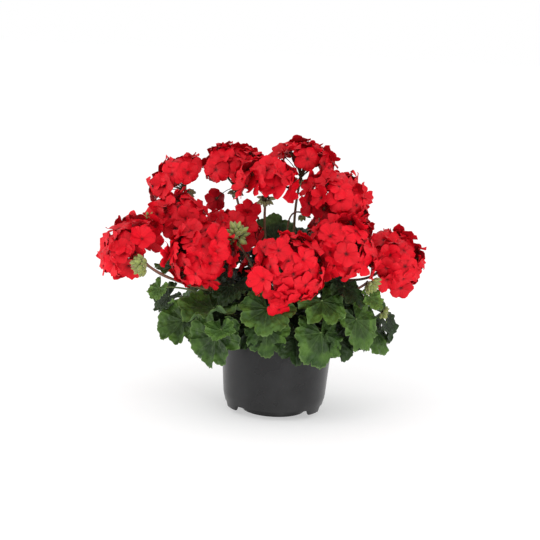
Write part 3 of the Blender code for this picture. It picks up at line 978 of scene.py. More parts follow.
@dataclass(frozen=True)
class Petals:
    """The shape of a floret's five petals, as shares of the petal's length."""

    rows: int = 7
    columns: int = 5
    width: float = 0.50
    claw: float = 0.24
    fullest: float = 0.70
    tip_width: float = 0.78
    tip_round: float = 0.22
    rise: tuple[float, float] = (0.28, 0.80)
    fall: tuple[float, float] = (0.22, 0.48)
    twist: float = 0.12
    ruffle: float = 0.10
    curl: float = 0.10
    notch: float = 0.045
    notch_width: float = 0.3
    throat: float = 0.05
    thick: float = 0.0004

    def points(self, length: Array, open_by: Array, rng: np.random.Generator) -> Array:
        """Return petals in their own frames: out from the throat, across, and forward.

        Half the width rises as a sine from the claw to the fullest place and then falls in
        a parabola to the tip.  The tip is rounded by drawing the sides back with the square
        of the place across, and a bell curve notches it.  The petal climbs out of the throat
        and arches back, one side is over and one under its neighbour, and two sines ruffle
        the edge.

        Args:
            length: the petals' lengths, in metres.
            open_by: from 0 for a cupped floret to 1 for one laid flat.
            rng: where the ruffles' phases are drawn from.

        Returns:
            An array of petals, points of each, and x, y, z.
        """
        t = np.linspace(0.0, 1.0, self.rows)[None, :, None]
        u = np.linspace(-1.0, 1.0, self.columns)[None, None, :]
        count = len(length)
        scale = length[:, None, None]
        grow = self.claw + (1.0 - self.claw) * np.sin(
            0.5 * math.pi * np.minimum(t / self.fullest, 1.0)
        ) ** 1.2
        past = np.maximum(t - self.fullest, 0.0) / (1.0 - self.fullest)
        half = self.width * grow * (1.0 - (1.0 - self.tip_width) * past ** 2)
        wide = rng.uniform(0.90, 1.10, (count, 1, 1))
        phase, ripple = rng.uniform(0.0, 2.0 * math.pi, (2, count, 1, 1))
        flat = open_by[:, None, None]
        rise = self.rise[1] + (self.rise[0] - self.rise[1]) * flat
        fall = self.fall[0] + (self.fall[1] - self.fall[0]) * flat
        fall = fall * rng.uniform(0.7, 1.4, (count, 1, 1))
        notch = self.notch * np.exp(-((u / self.notch_width) ** 2)) * t ** 4
        x = t * (1.0 - self.tip_round * u ** 2 * t ** 2) - notch
        y = u * half * wide
        z = rise * t - fall * t ** 2 + self.twist * u * t
        wave = self.ruffle * t ** 2 * np.sin(3.2 * u + phase)
        z = z + self.curl * (0.5 - flat) * u ** 2 * t + wave
        z = z + 0.5 * self.ruffle * t ** 3 * np.sin(6.0 * u + ripple)
        x, y, z = np.broadcast_arrays(self.throat + x, y, z)
        upper = np.stack([x, y, z], axis=-1) * scale[..., None]
        lower = upper[:, 1:-1, 1:-1] - np.array([0.0, 0.0, self.thick])
        return np.concatenate([upper.reshape(count, -1, 3), lower.reshape(count, -1, 3)], axis=1)

    def values(self) -> dict[str, Array]:
        """Work out where each point of a petal lies along and across it, and on which side.

        Returns:
            Attribute values by name.
        """
        t, u = np.meshgrid(
            np.linspace(0.0, 1.0, self.rows), np.linspace(0.0, 1.0, self.columns), indexing="ij"
        )
        side = np.zeros_like(t)
        inner = (slice(1, -1), slice(1, -1))
        return {
            "along": np.concatenate([t.ravel(), t[inner].ravel()])[None],
            "across": np.concatenate([u.ravel(), u[inner].ravel()])[None],
            "under": np.concatenate([side.ravel(), side[inner].ravel() + 1.0])[None],
        }


@dataclass
class FlowerHead:
    """An umbel: florets on pedicels that spring from one hub over the stalk's end.

    `middle` is measured from the middle of the pot's rim.  `extra` lists florets that stand
    apart: offsets from the head's middle, and the azimuth and lean they face.  `green_buds`
    lists the same offsets for small green sprays.
    """

    name: str
    middle: tuple[float, float, float]
    radius: float
    rise: float
    depth: float
    azimuth: float
    off_vertical: float
    stem: Stem
    height: float
    form: HeadForm
    floret: float = 0.0188
    hub_buds: int = 0
    extra: tuple[tuple[float, float, float, float, float], ...] = ()
    green_buds: tuple[tuple[float, float, float], ...] = ()
    stalk_radius: float = 0.0019
    cup_gap: float = 0.0007
    cup_length: float = 0.0068
    pedicel_end: float = 0.0065
    pedicel_radius: float = 0.0010
    knob_radius: float = 0.0024
    below_hub: float = 0.0035
    shake: float = 0.25

    def frame(self) -> Array:
        """Return the head's axes, the third along the way it faces."""
        return cross_frame(facing(self.azimuth, self.off_vertical), np.array([1.0, 0.2, 0.1]))

    def centre(self) -> Array:
        """Return the middle of the head."""
        return np.array(self.middle) + UP * RIM_TOP

    def hub(self) -> Array:
        """Return where the pedicels spring from."""
        return self.centre() - self.frame()[:, 2] * self.depth

    def floret_places(self, rng: np.random.Generator) -> tuple[Array, Array]:
        """Return the florets' throats and the way each faces.

        Directions follow a golden-angle spiral from the head's middle to its last row,
        shaken a little, and the throats lie on an ellipsoid inside the petals' reach.  The
        florets that stand apart from the head come last.

        Args:
            rng: where the shakes are drawn from.

        Returns:
            Two arrays of florets and x, y, z.
        """
        count, last = self.form.value
        share = (np.arange(count) + 0.5) / count
        lowest = math.cos(math.radians(last))
        polar = np.arccos(1.0 - share * (1.0 - lowest)) + rng.normal(0.0, 0.05, count)
        turn = GOLDEN_TURN * np.arange(count) + rng.uniform(*ANY_TURN)
        turn = turn + rng.normal(0.0, 0.10, count)
        away = spherical(polar, turn)
        inset = 0.98 + rng.uniform(-0.16, 0.10, count)
        up = np.where(away[:, 2] > 0.0, self.rise, self.depth + 0.010)
        across = np.full(count, self.radius)
        place = away * np.stack([across, across, up], 1) * inset[:, None]
        normal = unit(away / np.array([1.0, 1.0, max(0.55, self.rise / self.radius)]))
        normal = unit(normal + rng.normal(0.0, self.shake, (count, 3)))
        axes = self.frame()
        places, ways = self.centre() + place @ axes.T, normal @ axes.T
        for stray in self.extra:
            places = np.vstack([places, self.centre() + np.array(stray[:3])])
            ways = np.vstack([ways, facing(*stray[3:])])
        return places, ways

    def add_petals(
        self, piece: Piece, throats: Array, ways: Array, rng: np.random.Generator
    ) -> None:
        """Add five petals to each floret, turned about its throat.

        Args:
            piece: the piece that takes them.
            throats: the florets' throats.
            ways: the way each faces.
            rng: where their sizes, tones and openness are drawn from.
        """
        count = len(throats)
        shape = Petals()
        spin = rng.uniform(0.0, 2.0 * math.pi, count)[:, None] + np.arange(5) * 0.4 * math.pi
        spin = spin + rng.normal(0.0, 0.05, spin.shape)
        size = self.floret * rng.uniform(0.88, 1.08, count)[:, None]
        size = size * rng.uniform(0.93, 1.05, (count, 5))
        open_by = rng.uniform(0.15, 1.0, (count, 1)) + rng.normal(0.0, 0.10, (count, 5))
        open_by = np.clip(open_by, 0, 1)
        petals = shape.points(size.ravel(), open_by.ravel(), rng).reshape(count, 5, -1, 3)
        cosine, sine = np.cos(spin)[..., None], np.sin(spin)[..., None]
        local = np.stack(
            [petals[..., 0] * cosine - petals[..., 1] * sine,
             petals[..., 0] * sine + petals[..., 1] * cosine, petals[..., 2]], axis=-1
        )
        frames = cross_frame(ways, np.broadcast_to([0.21, 0.37, 0.9], ways.shape))
        placed = throats[:, None, None] + np.einsum("fij,fpnj->fpni", frames, local)
        tone = rng.normal(0.35, 0.22, (count, 1)) + rng.normal(0.0, 0.12, (count, 5))
        piece.add(
            sheet_weave(shape.rows, shape.columns), placed.reshape(count * 5, -1, 3), 0,
            (2.0 * self.floret, self.floret), tone=np.clip(tone, 0, 1).ravel(), **shape.values(),
        )

    def add_pedicels(self, piece: Piece, throats: Array, ways: Array) -> None:
        """Add each floret's tube and its pedicel, which swells where it meets the hub.

        Args:
            piece: the piece that takes them.
            throats: the florets' throats.
            ways: the way each faces.
        """
        hub = self.hub()
        back = throats - ways * self.pedicel_end
        share = np.array([0.0, 0.3, 0.6, 1.0])
        below = self.cup_gap + self.cup_length * (1.0 - share)
        cups = throats[:, None] - ways[:, None] * below[None, :, None]
        piece.add_tubes(cups, np.array([0.0009, 0.0017, 0.0016, 0.0025]), 6, 1, 0.2)
        leave = unit(back - hub + self.frame()[:, 2] * 0.4 * self.radius)
        reach = np.linalg.norm(back - hub, axis=1, keepdims=True)
        start = np.broadcast_to(hub, back.shape) + leave * 0.0012
        paths = bezier(start, start + leave * reach * 0.4, back - ways * reach * 0.30, back, 7)
        girth = np.array([1.0, 0.75, 0.66, 0.62, 0.62, 0.7, 0.9])
        piece.add_tubes(paths, girth * self.pedicel_radius, 5, 1)

    def build(self, finishes: Finishes, rng: np.random.Generator) -> None:
        """Make the head and its stalk.

        Args:
            finishes: the plant's materials.
            rng: where everything random is drawn from.
        """
        piece = Piece(
            f"flower_{self.name}",
            [finishes.petal, finishes.pedicel, finishes.old_bud, finishes.young_bud],
        )
        throats, ways = self.floret_places(rng)
        self.add_petals(piece, throats, ways, rng)
        self.add_pedicels(piece, throats, ways)
        axis = self.frame()[:, 2]
        knob = self.hub() + axis * np.linspace(-0.004, 0.0025, 7)[:, None]
        swell = np.array([0.5, 0.8, 1.1, 1.25, 1.2, 0.9, 0.3])
        piece.add_tubes(knob[None], swell * self.knob_radius, 10, 1)
        if self.hub_buds:
            spray = BudSpray(self.hub() - axis * 0.001, -axis, 80.0, self.hub_buds, 0.0090, 0.0062)
            spray.add_to(piece, 2, 1, rng)
        for offset in self.green_buds:
            tip = self.centre() + np.array(offset)
            way = unit(tip - self.hub())
            BudSpray(tip, way, 95.0, 9, 0.0062, 0.0045).add_to(piece, 3, 1, rng)
            stem = self.hub() + (tip - self.hub()) * np.linspace(0.02, 1.0, 6)[:, None]
            piece.add_tubes(stem[None], np.full(6, 0.0009), 6, 1)
        piece.place("petals", f"flower_head_{self.name}")
        stalk = Piece(f"stalk_{self.name}", [finishes.stalk], 70.0)
        end = self.hub() - axis * self.below_hub
        self.stem.grow(stalk, 0, FLOWER_STALK, self.stalk_radius, self.height, end, axis)
        stalk.place("stalk", f"flower_stalk_{self.name}")


@dataclass
class BudSpray:
    """Closed buds on short pedicels that spring from one point."""

    root: Array
    axis: Array
    spread: float
    count: int
    bud_length: float
    reach: float
    pedicel_radius: float = 0.0008
    plumpness: float = 0.29

    def add_to(self, piece: Piece, bud: int, pedicel: int, rng: np.random.Generator) -> None:
        """Add the buds and pedicels.

        Directions fill a cone with a golden-angle spiral.  A bud is a tube along its own
        axis whose radius follows a drop: round at the foot and drawn to a point.

        Args:
            piece: the piece that takes them.
            bud: number of the buds' finish.
            pedicel: number of the pedicels' finish.
            rng: where the shakes are drawn from.
        """
        share = (np.arange(self.count) + 0.5) / self.count
        polar = np.arccos(1.0 - share * (1.0 - math.cos(math.radians(self.spread))))
        turn = GOLDEN_TURN * np.arange(self.count) + rng.uniform(*ANY_TURN)
        polar = polar + rng.normal(0.0, 0.07, self.count)
        axes = cross_frame(self.axis, np.array([0.3, 0.8, 0.5]))
        away = unit(spherical(polar, turn) @ axes.T + rng.normal(0.0, 0.06, (self.count, 3)))
        reach = self.reach * rng.uniform(0.72, 1.12, (self.count, 1))
        foot = self.root + away * reach
        start = self.root + away * 0.0006
        leave = start + (away + 0.6 * self.axis) * reach * 0.35
        paths = bezier(start, leave, foot - away * reach * 0.3, foot, 5)
        girth = np.array([0.9, 0.7, 0.65, 0.7, 1.0])
        piece.add_tubes(paths, girth * self.pedicel_radius, 5, pedicel)
        length = self.bud_length * rng.uniform(0.72, 1.12, (self.count, 1))
        lean = unit(away + rng.normal(0.0, 0.10, away.shape))
        steps = np.array([0.0, 0.12, 0.34, 0.60, 0.84, 1.0])
        paths = foot[:, None] + lean[:, None] * (length * steps[None])[..., None]
        drop = np.array([0.46, 0.88, 1.0, 0.86, 0.50, 0.14])
        tone = rng.uniform(0.0, 1.0, self.count)
        piece.add_tubes(paths, drop[None] * length * self.plumpness, 7, bud, tone)


@dataclass
class BudCluster:
    """A young umbel: many closed green buds at the end of a thin stalk.

    The buds hang along `hang`, an azimuth and degrees off vertical, where it is given, and
    a pale cluster has the leaf stalks' colour.
    """

    name: str
    middle: tuple[float, float, float]
    radius: float
    azimuth: float
    off_vertical: float
    stem: Stem
    height: float
    count: int
    spread: float = 100.0
    hang: tuple[float, float] | None = None
    stalk_radius: float = 0.0016
    pale: bool = False

    def build(self, finishes: Finishes, rng: np.random.Generator) -> None:
        """Make the cluster and its stalk in one piece.

        Args:
            finishes: the plant's materials.
            rng: where everything random is drawn from.
        """
        axis = facing(self.azimuth, self.off_vertical)
        way = facing(*self.hang) if self.hang else axis
        root = np.array(self.middle) + UP * RIM_TOP - way * 0.45 * self.radius
        stalk = finishes.petiole if self.pale else finishes.stalk
        piece = Piece(f"buds_{self.name}", [finishes.young_bud, stalk])
        length, reach = 0.62 * self.radius, 0.42 * self.radius
        BudSpray(root, way, self.spread, self.count, length, reach).add_to(piece, 0, 1, rng)
        self.stem.grow(piece, 1, BUD_STALK, self.stalk_radius, self.height, root, axis)
        piece.place("buds", f"bud_cluster_{self.name}")


# ---------------------------------------------------------------- leaves
@dataclass
class Leaf:
    """One leaf: where its stalk meets the blade, how the blade hangs, and its stem.

    The joint lies at an azimuth, a distance from the axis and a height over the rim.  The
    blade's tip heads some degrees off that azimuth, droops below the level and is twisted
    about its length.  `attach` is the height over the soil where the stalk leaves the stem.
    """

    azimuth: float
    distance: float
    height: float
    radius: float
    heading: float
    droop: float
    twist: float
    cup: float
    stem: Stem
    attach: float
    sinus: float = 24.0
    lobes: int = 7
    rows: int = 17
    teeth: int = 5
    tone: float = 0.45
    thick: float = 0.00055
    stalk_radius: float = 0.0015

    def axes(self) -> Array:
        """Work out the blade's frame from its heading, droop and twist.

        Returns:
            A matrix whose columns run to its tip, across it, and up from its face.
        """
        away = outward(self.azimuth + self.heading)
        fall, roll = math.radians(self.droop), math.radians(self.twist)
        tip = away * math.cos(fall) - UP * math.sin(fall)
        flat = away * math.sin(fall) + UP * math.cos(fall)
        normal = flat * math.cos(roll) + np.cross(tip, flat) * math.sin(roll)
        return np.stack([tip, np.cross(normal, tip), normal], axis=-1)

    def joint(self) -> Array:
        """Return where the stalk meets the blade."""
        return outward(self.azimuth) * self.distance + UP * (RIM_TOP + self.height)

    def blade(self, rng: np.random.Generator) -> tuple[Array, dict[str, Array], Weave]:
        """Return the blade's points, its attributes and its faces.

        A turn sweeps from one side of the notch round the tip to the other, and a reach
        runs from the stalk to the edge.  The outline is a circle drawn in beside the notch,
        times shallow lobes (a power of a sine) and small round teeth.  The height is a bowl
        (the reach squared), less a fold down along each vein, plus three sines that ruffle
        the edge, a lift of its own for each lobe, two fine sines that puff the skin between
        the veins, and a slow bend along and across the blade.

        Args:
            rng: where the phases, lifts and bend are drawn from.

        Returns:
            Points with a first dimension of one, attribute values, and the weave.
        """
        columns = self.lobes * self.teeth * 4 + 1
        u = np.linspace(0.0, 1.0, columns)[None, :]
        v = np.linspace(0.0, 1.0, self.rows)[:, None] ** 0.85
        half_sweep = math.pi - math.radians(self.sinus)
        turn = (2.0 * u - 1.0) * half_sweep
        lobe = np.abs(np.sin(math.pi * self.lobes * u)) ** 0.7
        teeth = np.abs(np.sin(math.pi * self.lobes * self.teeth * u + 0.3)) ** 0.8
        drawn_in = 1.0 - 0.24 * (turn / math.pi) ** 2
        outline = drawn_in * (1.0 + v ** 3 * (0.19 * (lobe - 0.62) + 0.060 * (teeth - 0.5)))
        uneven = 1.0 + 0.05 * np.sin(2.0 * turn + rng.uniform(*ANY_TURN)) * v
        reach = self.radius * v * outline * uneven
        phases = rng.uniform(*ANY_TURN, 4)
        wave = 0.085 * v ** 3 * np.sin(3.0 * turn + phases[0])
        wave = wave + 0.075 * v ** 4 * np.sin(9.0 * turn + phases[1])
        wave = wave + 0.040 * v ** 6 * np.sin(21.0 * turn + phases[2])
        fold = -0.125 * (lobe - 0.5) * v * (1.0 - 0.3 * v)
        flops = rng.normal(0.0, 0.11, self.lobes + 2)
        lift = np.interp(u * self.lobes, np.arange(self.lobes + 2) - 0.5, flops) * v ** 2
        x, y = reach * np.cos(turn), reach * np.sin(turn)
        sag = -0.16 * (np.maximum(x, 0.0) / self.radius) ** 2
        sag = sag + rng.uniform(-0.10, 0.06) * (y / self.radius) ** 2
        puff = 0.028 * v * np.sin(19.0 * v + phases[3]) * np.cos(math.pi * self.lobes * 4.0 * u)
        puff = puff + 0.016 * v * np.sin(31.0 * v + 7.0 * turn + phases[2])
        swell = wave + fold + lift + puff
        z = self.radius * (self.cup * v * v + swell + sag)
        local = np.stack(np.broadcast_arrays(x, y, z), axis=-1)
        grid = self.joint() + local @ self.axes().T
        normal = unit(np.cross(np.gradient(grid, axis=0), np.gradient(grid, axis=1)))
        lower = (grid - normal * self.thick * (1.0 - 0.4 * v[..., None]))[1:-1, 1:-1]
        points = np.concatenate([grid[0, :1], grid[1:].reshape(-1, 3), lower.reshape(-1, 3)])

        def listed(values: Array) -> Array:
            """List values in the order of the points.

            Args:
                values: values over the upper grid.

            Returns:
                One row: the grid's pole, its other points, and the underside's.
            """
            full = np.broadcast_to(values, grid.shape[:2])
            inner = full[1:-1, 1:-1].ravel()
            return np.concatenate([[full[0, columns // 2]], full[1:].ravel(), inner])[None]

        below = np.zeros((1, len(points)))
        below[:, 1 + (self.rows - 1) * columns:] = 1.0
        # The tone follows the swell: raised parts of the blade get painted light, folds and valleys
        # painted shade.
        values = {
            "along": listed(v), "across": listed(u), "under": below, "tone": listed(2.2 * swell)
        }
        return points[None], values, sheet_weave(self.rows, columns, pole=True)

    def add_to(self, piece: Piece, rng: np.random.Generator) -> None:
        """Add the blade, with finish 0, and its stalk, with finish 1.

        Args:
            piece: the piece that takes them.
            rng: where everything random is drawn from.
        """
        points, values, weave = self.blade(rng)
        # The leaf's own tone is added to the painted light and shade of its relief.
        values["tone"] = np.clip(values["tone"] + rng.normal(self.tone, 0.22), 0.0, 1.0)
        side = 2.0 * self.radius
        piece.add(weave, points, 0, (2.0 * side, 0.6 * side), **values)
        tip, _, normal = self.axes().T
        arrival = unit(normal + tip + 0.5 * outward(self.azimuth))
        joint = self.joint() + normal * 0.0002
        self.stem.grow(piece, 1, LEAF_STALK, self.stalk_radius, self.attach, joint, arrival)


LEAVES = {
    "front_left_hanging": Leaf(-46, 0.119, 0.006, 0.044, 4, 68, 0, 0.06, FRONT_LEFT, 0.012),
    "left_low": Leaf(-80, 0.138, 0.012, 0.038, 0, 46, -35, 0.10, FRONT_LEFT, 0.022),
    "front_left": Leaf(-45, 0.128, 0.046, 0.047, -12, 6, 0, 0.20, FRONT_LEFT, 0.032),
    "front": Leaf(-8, 0.114, 0.055, 0.039, 0, 48, -8, 0.04, CENTER, 0.026),
    "front_hanging": Leaf(-8, 0.104, 0.023, 0.033, 4, 66, 0, -0.08, CENTER, 0.011),
    "front_right_hanging": Leaf(32, 0.112, 0.020, 0.043, 2, 62, 0, -0.08, FRONT_RIGHT, 0.012),
    "front_right": Leaf(36, 0.100, 0.062, 0.038, -8, 38, 0, 0.06, FRONT_RIGHT, 0.034),
    "right_front": Leaf(65, 0.121, 0.032, 0.042, 2, 50, 15, 0.06, FRONT_RIGHT, 0.024),
    "right_low": Leaf(93, 0.138, 0.008, 0.039, 0, 54, 30, -0.06, FRONT_RIGHT, 0.016),
    "right": Leaf(112, 0.138, 0.033, 0.037, 0, 20, 0, 0.12, BACK_RIGHT, 0.026),
    "right_high": Leaf(97, 0.096, 0.056, 0.034, 0, 12, 0, 0.10, FRONT_RIGHT, 0.050),
    "left": Leaf(-100, 0.146, 0.088, 0.036, 0, 14, -25, 0.10, BACK_LEFT, 0.036),
    "left_back": Leaf(-112, 0.136, 0.034, 0.040, 0, 38, -30, 0.06, BACK_LEFT, 0.024),
    "top": Leaf(-172, 0.080, 0.118, 0.038, 0, -54, 0, 0.06, CENTER, 0.086),
    "back_hanging": Leaf(180, 0.112, 0.018, 0.041, 0, 58, 0, -0.06, BACK_RIGHT, 0.012),
    "back_right_low": Leaf(152, 0.122, 0.048, 0.042, 0, 34, 0, 0.08, BACK_RIGHT, 0.032),
    "back_left_low": Leaf(-152, 0.126, 0.040, 0.042, 0, 34, 0, 0.08, BACK_LEFT, 0.032),
    "back_right_hanging": Leaf(128, 0.126, 0.012, 0.040, 0, 52, 0, -0.05, BACK_RIGHT, 0.018),
    "back_left_hanging": Leaf(-134, 0.126, 0.010, 0.041, 0, 54, 0, -0.05, BACK_LEFT, 0.012),
    "back": Leaf(176, 0.086, 0.079, 0.040, 0, 22, 0, 0.10, BACK_LEFT, 0.052),
}

# Smaller leaves; all but the young ones take the darker inner-leaf colours, which are painted
# shade.
UNDERGROWTH = {
    "young": (
        Leaf(-34, 0.140, 0.022, 0.021, 10, 34, 0, 0.26, FRONT_LEFT, 0.030, tone=0.95),
        Leaf(-74, 0.176, 0.062, 0.019, 0, 50, -20, 0.20, FRONT_LEFT, 0.036, tone=0.85),
        Leaf(78, 0.132, 0.060, 0.022, 0, 40, 20, 0.16, FRONT_RIGHT, 0.040, tone=0.55),
    ),
    "front": (
        Leaf(-44, 0.076, 0.030, 0.036, 0, 24, 0, 0.10, FRONT_LEFT, 0.036),
        Leaf(-24, 0.098, 0.022, 0.030, 0, 60, 0, 0.05, FRONT_LEFT, 0.020),
        Leaf(14, 0.102, 0.012, 0.034, 0, 62, 0, 0.05, FRONT_RIGHT, 0.020),
        Leaf(6, 0.066, 0.040, 0.036, 0, 22, 0, 0.08, CENTER, 0.040),
        Leaf(50, 0.108, 0.012, 0.034, 0, 58, 0, 0.06, FRONT_RIGHT, 0.022),
    ),
    "left": (
        Leaf(-66, 0.112, 0.014, 0.034, 0, 52, -30, 0.06, FRONT_LEFT, 0.028),
        Leaf(-95, 0.160, 0.037, 0.027, 0, 40, -30, 0.12, BACK_LEFT, 0.030),
        Leaf(-76, 0.086, 0.044, 0.036, 0, 20, -30, 0.08, FRONT_LEFT, 0.044),
        Leaf(-104, 0.104, 0.010, 0.034, 0, 56, -30, 0.05, BACK_LEFT, 0.020),
    ),
    "right": (
        Leaf(80, 0.112, 0.014, 0.034, 0, 56, 30, 0.06, FRONT_RIGHT, 0.028),
        Leaf(99, 0.160, 0.013, 0.028, 0, 60, 30, 0.05, BACK_RIGHT, 0.020),
        Leaf(62, 0.078, 0.046, 0.036, 0, 20, 30, 0.10, FRONT_RIGHT, 0.044),
        Leaf(112, 0.100, 0.010, 0.034, 0, 58, 30, 0.05, BACK_RIGHT, 0.020),
    ),
    "heart": (
        Leaf(-58, 0.050, 0.072, 0.038, 0, 30, 0, 0.08, FRONT_LEFT, 0.062),
        Leaf(-20, 0.052, 0.060, 0.036, 0, 34, 0, 0.08, CENTER, 0.060),
        Leaf(24, 0.054, 0.070, 0.036, 0, 30, 0, 0.08, CENTER, 0.066),
        Leaf(-90, 0.070, 0.084, 0.038, 0, 24, -20, 0.08, BACK_LEFT, 0.064),
        Leaf(-130, 0.062, 0.100, 0.038, 0, -20, 0, 0.08, BACK_LEFT, 0.076),
        Leaf(90, 0.066, 0.080, 0.038, 0, 26, 20, 0.08, FRONT_RIGHT, 0.062),
        Leaf(150, 0.050, 0.098, 0.038, 0, -26, 0, 0.08, BACK_RIGHT, 0.076),
        Leaf(-168, 0.040, 0.088, 0.040, 0, -40, 0, 0.06, CENTER, 0.080),
        Leaf(-42, 0.098, 0.076, 0.032, 0, 34, 0, 0.10, FRONT_LEFT, 0.060),
        Leaf(60, 0.104, 0.078, 0.034, 0, 30, 0, 0.10, FRONT_RIGHT, 0.060),
    ),
    "back": (
        Leaf(163, 0.089, 0.115, 0.030, 0, -48, 0, 0.06, BACK_RIGHT, 0.074),
        Leaf(142, 0.080, 0.062, 0.038, 0, 24, 0, 0.08, BACK_RIGHT, 0.050),
        Leaf(-142, 0.080, 0.060, 0.038, 0, 26, 0, 0.08, BACK_LEFT, 0.050),
        Leaf(156, 0.108, 0.012, 0.036, 0, 60, 0, 0.05, BACK_RIGHT, 0.020),
        Leaf(-158, 0.108, 0.012, 0.036, 0, 60, 0, 0.05, BACK_LEFT, 0.020),
        Leaf(170, 0.120, 0.040, 0.036, 0, 34, 0, 0.08, BACK_RIGHT, 0.036),
    ),
}


@dataclass
class Foliage:
    """All leaves: one piece for each CAD leaf, and six pieces of smaller leaves."""

    rng: np.random.Generator

    def build(self, finishes: Finishes) -> None:
        """Make every leaf.

        Args:
            finishes: the plant's materials.
        """
        for name, leaf in LEAVES.items():
            piece = Piece(f"zonal_leaf_{name}", [finishes.leaf, finishes.petiole])
            leaf.add_to(piece, self.rng)
            piece.place("leaf", f"leaf_{name}")
        for side, leaves in UNDERGROWTH.items():
            # Inner leaves take the darker copy of the leaf colours as painted shade.
            blade = finishes.young_leaf if side == "young" else finishes.shaded_inner_leaf
            piece = Piece(f"undergrowth_{side}", [blade, finishes.petiole])
            for leaf in leaves:
                leaf.add_to(piece, self.rng)
            piece.place("leaf")


# ---------------------------------------------------------------- bloom
FLOWERS = (
    FlowerHead("left_top", (-0.157, 0.088, 0.196), 0.040, 0.026, 0.020, -90, 38,
               BACK_LEFT, 0.060, HeadForm.UMBRELLA, hub_buds=26),
    FlowerHead("back_left_top", (-0.076, 0.078, 0.218), 0.040, 0.032, 0.028, -120, 10,
               BACK_LEFT, 0.070, HeadForm.DOME, hub_buds=14,
               extra=((-0.023, -0.004, -0.044, 200, 112),)),
    FlowerHead("center_top", (-0.027, -0.010, 0.214), 0.033, 0.026, 0.024, 0, 20,
               CENTER, 0.084, HeadForm.LOOSE, floret=0.0225, hub_buds=22),
    FlowerHead("back_right_top", (0.026, 0.078, 0.234), 0.035, 0.026, 0.024, 120, 10,
               BACK_RIGHT, 0.070, HeadForm.UMBRELLA, hub_buds=18),
    FlowerHead("right_top", (0.074, 0.022, 0.188), 0.045, 0.037, 0.022, 75, 35,
               CENTER, 0.074, HeadForm.DOME, hub_buds=12,
               extra=((-0.039, -0.024, -0.002, 215, 100), (-0.018, -0.026, -0.010, 190, 125))),
    FlowerHead("left_low", (-0.209, -0.033, 0.111), 0.043, 0.038, 0.022, -70, 45,
               FRONT_LEFT, 0.046, HeadForm.DOME),
    FlowerHead("left", (-0.151, 0.012, 0.147), 0.042, 0.034, 0.018, -80, 25,
               BACK_LEFT, 0.048, HeadForm.DOME, green_buds=((-0.039, -0.024, 0.008),)),
    FlowerHead("front_left", (-0.110, -0.082, 0.118), 0.043, 0.038, 0.026, -40, 35,
               FRONT_LEFT, 0.060, HeadForm.BALL),
    FlowerHead("center", (-0.060, 0.004, 0.130), 0.030, 0.034, 0.022, -60, 15,
               CENTER, 0.060, HeadForm.LOOSE,
               extra=((0.004, -0.020, -0.032, 75, 105), (0.011, -0.020, -0.054, 60, 112),
                      (0.008, 0.000, 0.038, 10, 45))),
    FlowerHead("front", (0.010, -0.110, 0.110), 0.046, 0.042, 0.026, 5, 55,
               FRONT_RIGHT, 0.044, HeadForm.BALL,
               extra=((-0.010, -0.012, -0.054, 20, 118),)),
    FlowerHead("front_right", (0.085, -0.055, 0.132), 0.043, 0.038, 0.024, 50, 30,
               FRONT_RIGHT, 0.060, HeadForm.BALL),
    FlowerHead("right_low", (0.160, 0.018, 0.104), 0.042, 0.038, 0.024, 85, 50,
               BACK_RIGHT, 0.066, HeadForm.BALL),
    FlowerHead("back_left", (-0.090, 0.118, 0.106), 0.040, 0.034, 0.020, -145, 40,
               BACK_LEFT, 0.044, HeadForm.DOME),
    FlowerHead("back_right", (0.088, 0.112, 0.128), 0.040, 0.034, 0.020, 145, 40,
               BACK_RIGHT, 0.058, HeadForm.DOME),
)

BUDS = (
    BudCluster("left", (-0.195, -0.087, 0.099), 0.0210, -76, 54, FRONT_LEFT, 0.054, 34,
               72, hang=(-70, 108), stalk_radius=0.0020),
    BudCluster("center", (-0.064, -0.068, 0.148), 0.0205, 0, 60, FRONT_LEFT, 0.056, 28),
    BudCluster("top", (0.032, 0.030, 0.163), 0.0140, 90, 105, CENTER, 0.070, 18,
               80, hang=(90, 128), stalk_radius=0.0013),
    BudCluster("right", (0.151, -0.012, 0.034), 0.0135, 80, 135, FRONT_RIGHT, 0.036, 16,
               70, pale=True),
    BudCluster("right_high", (0.130, -0.036, 0.078), 0.0185, 80, 48, FRONT_RIGHT, 0.046, 24,
               70, hang=(70, 130), stalk_radius=0.0020),
)


@dataclass
class Bloom:
    """Every flower head and bud cluster."""

    rng: np.random.Generator

    def build(self, finishes: Finishes) -> None:
        """Make the heads and then the buds.

        Args:
            finishes: the plant's materials.
        """
        for head in FLOWERS:
            head.build(finishes, self.rng)
        for cluster in BUDS:
            cluster.build(finishes, self.rng)


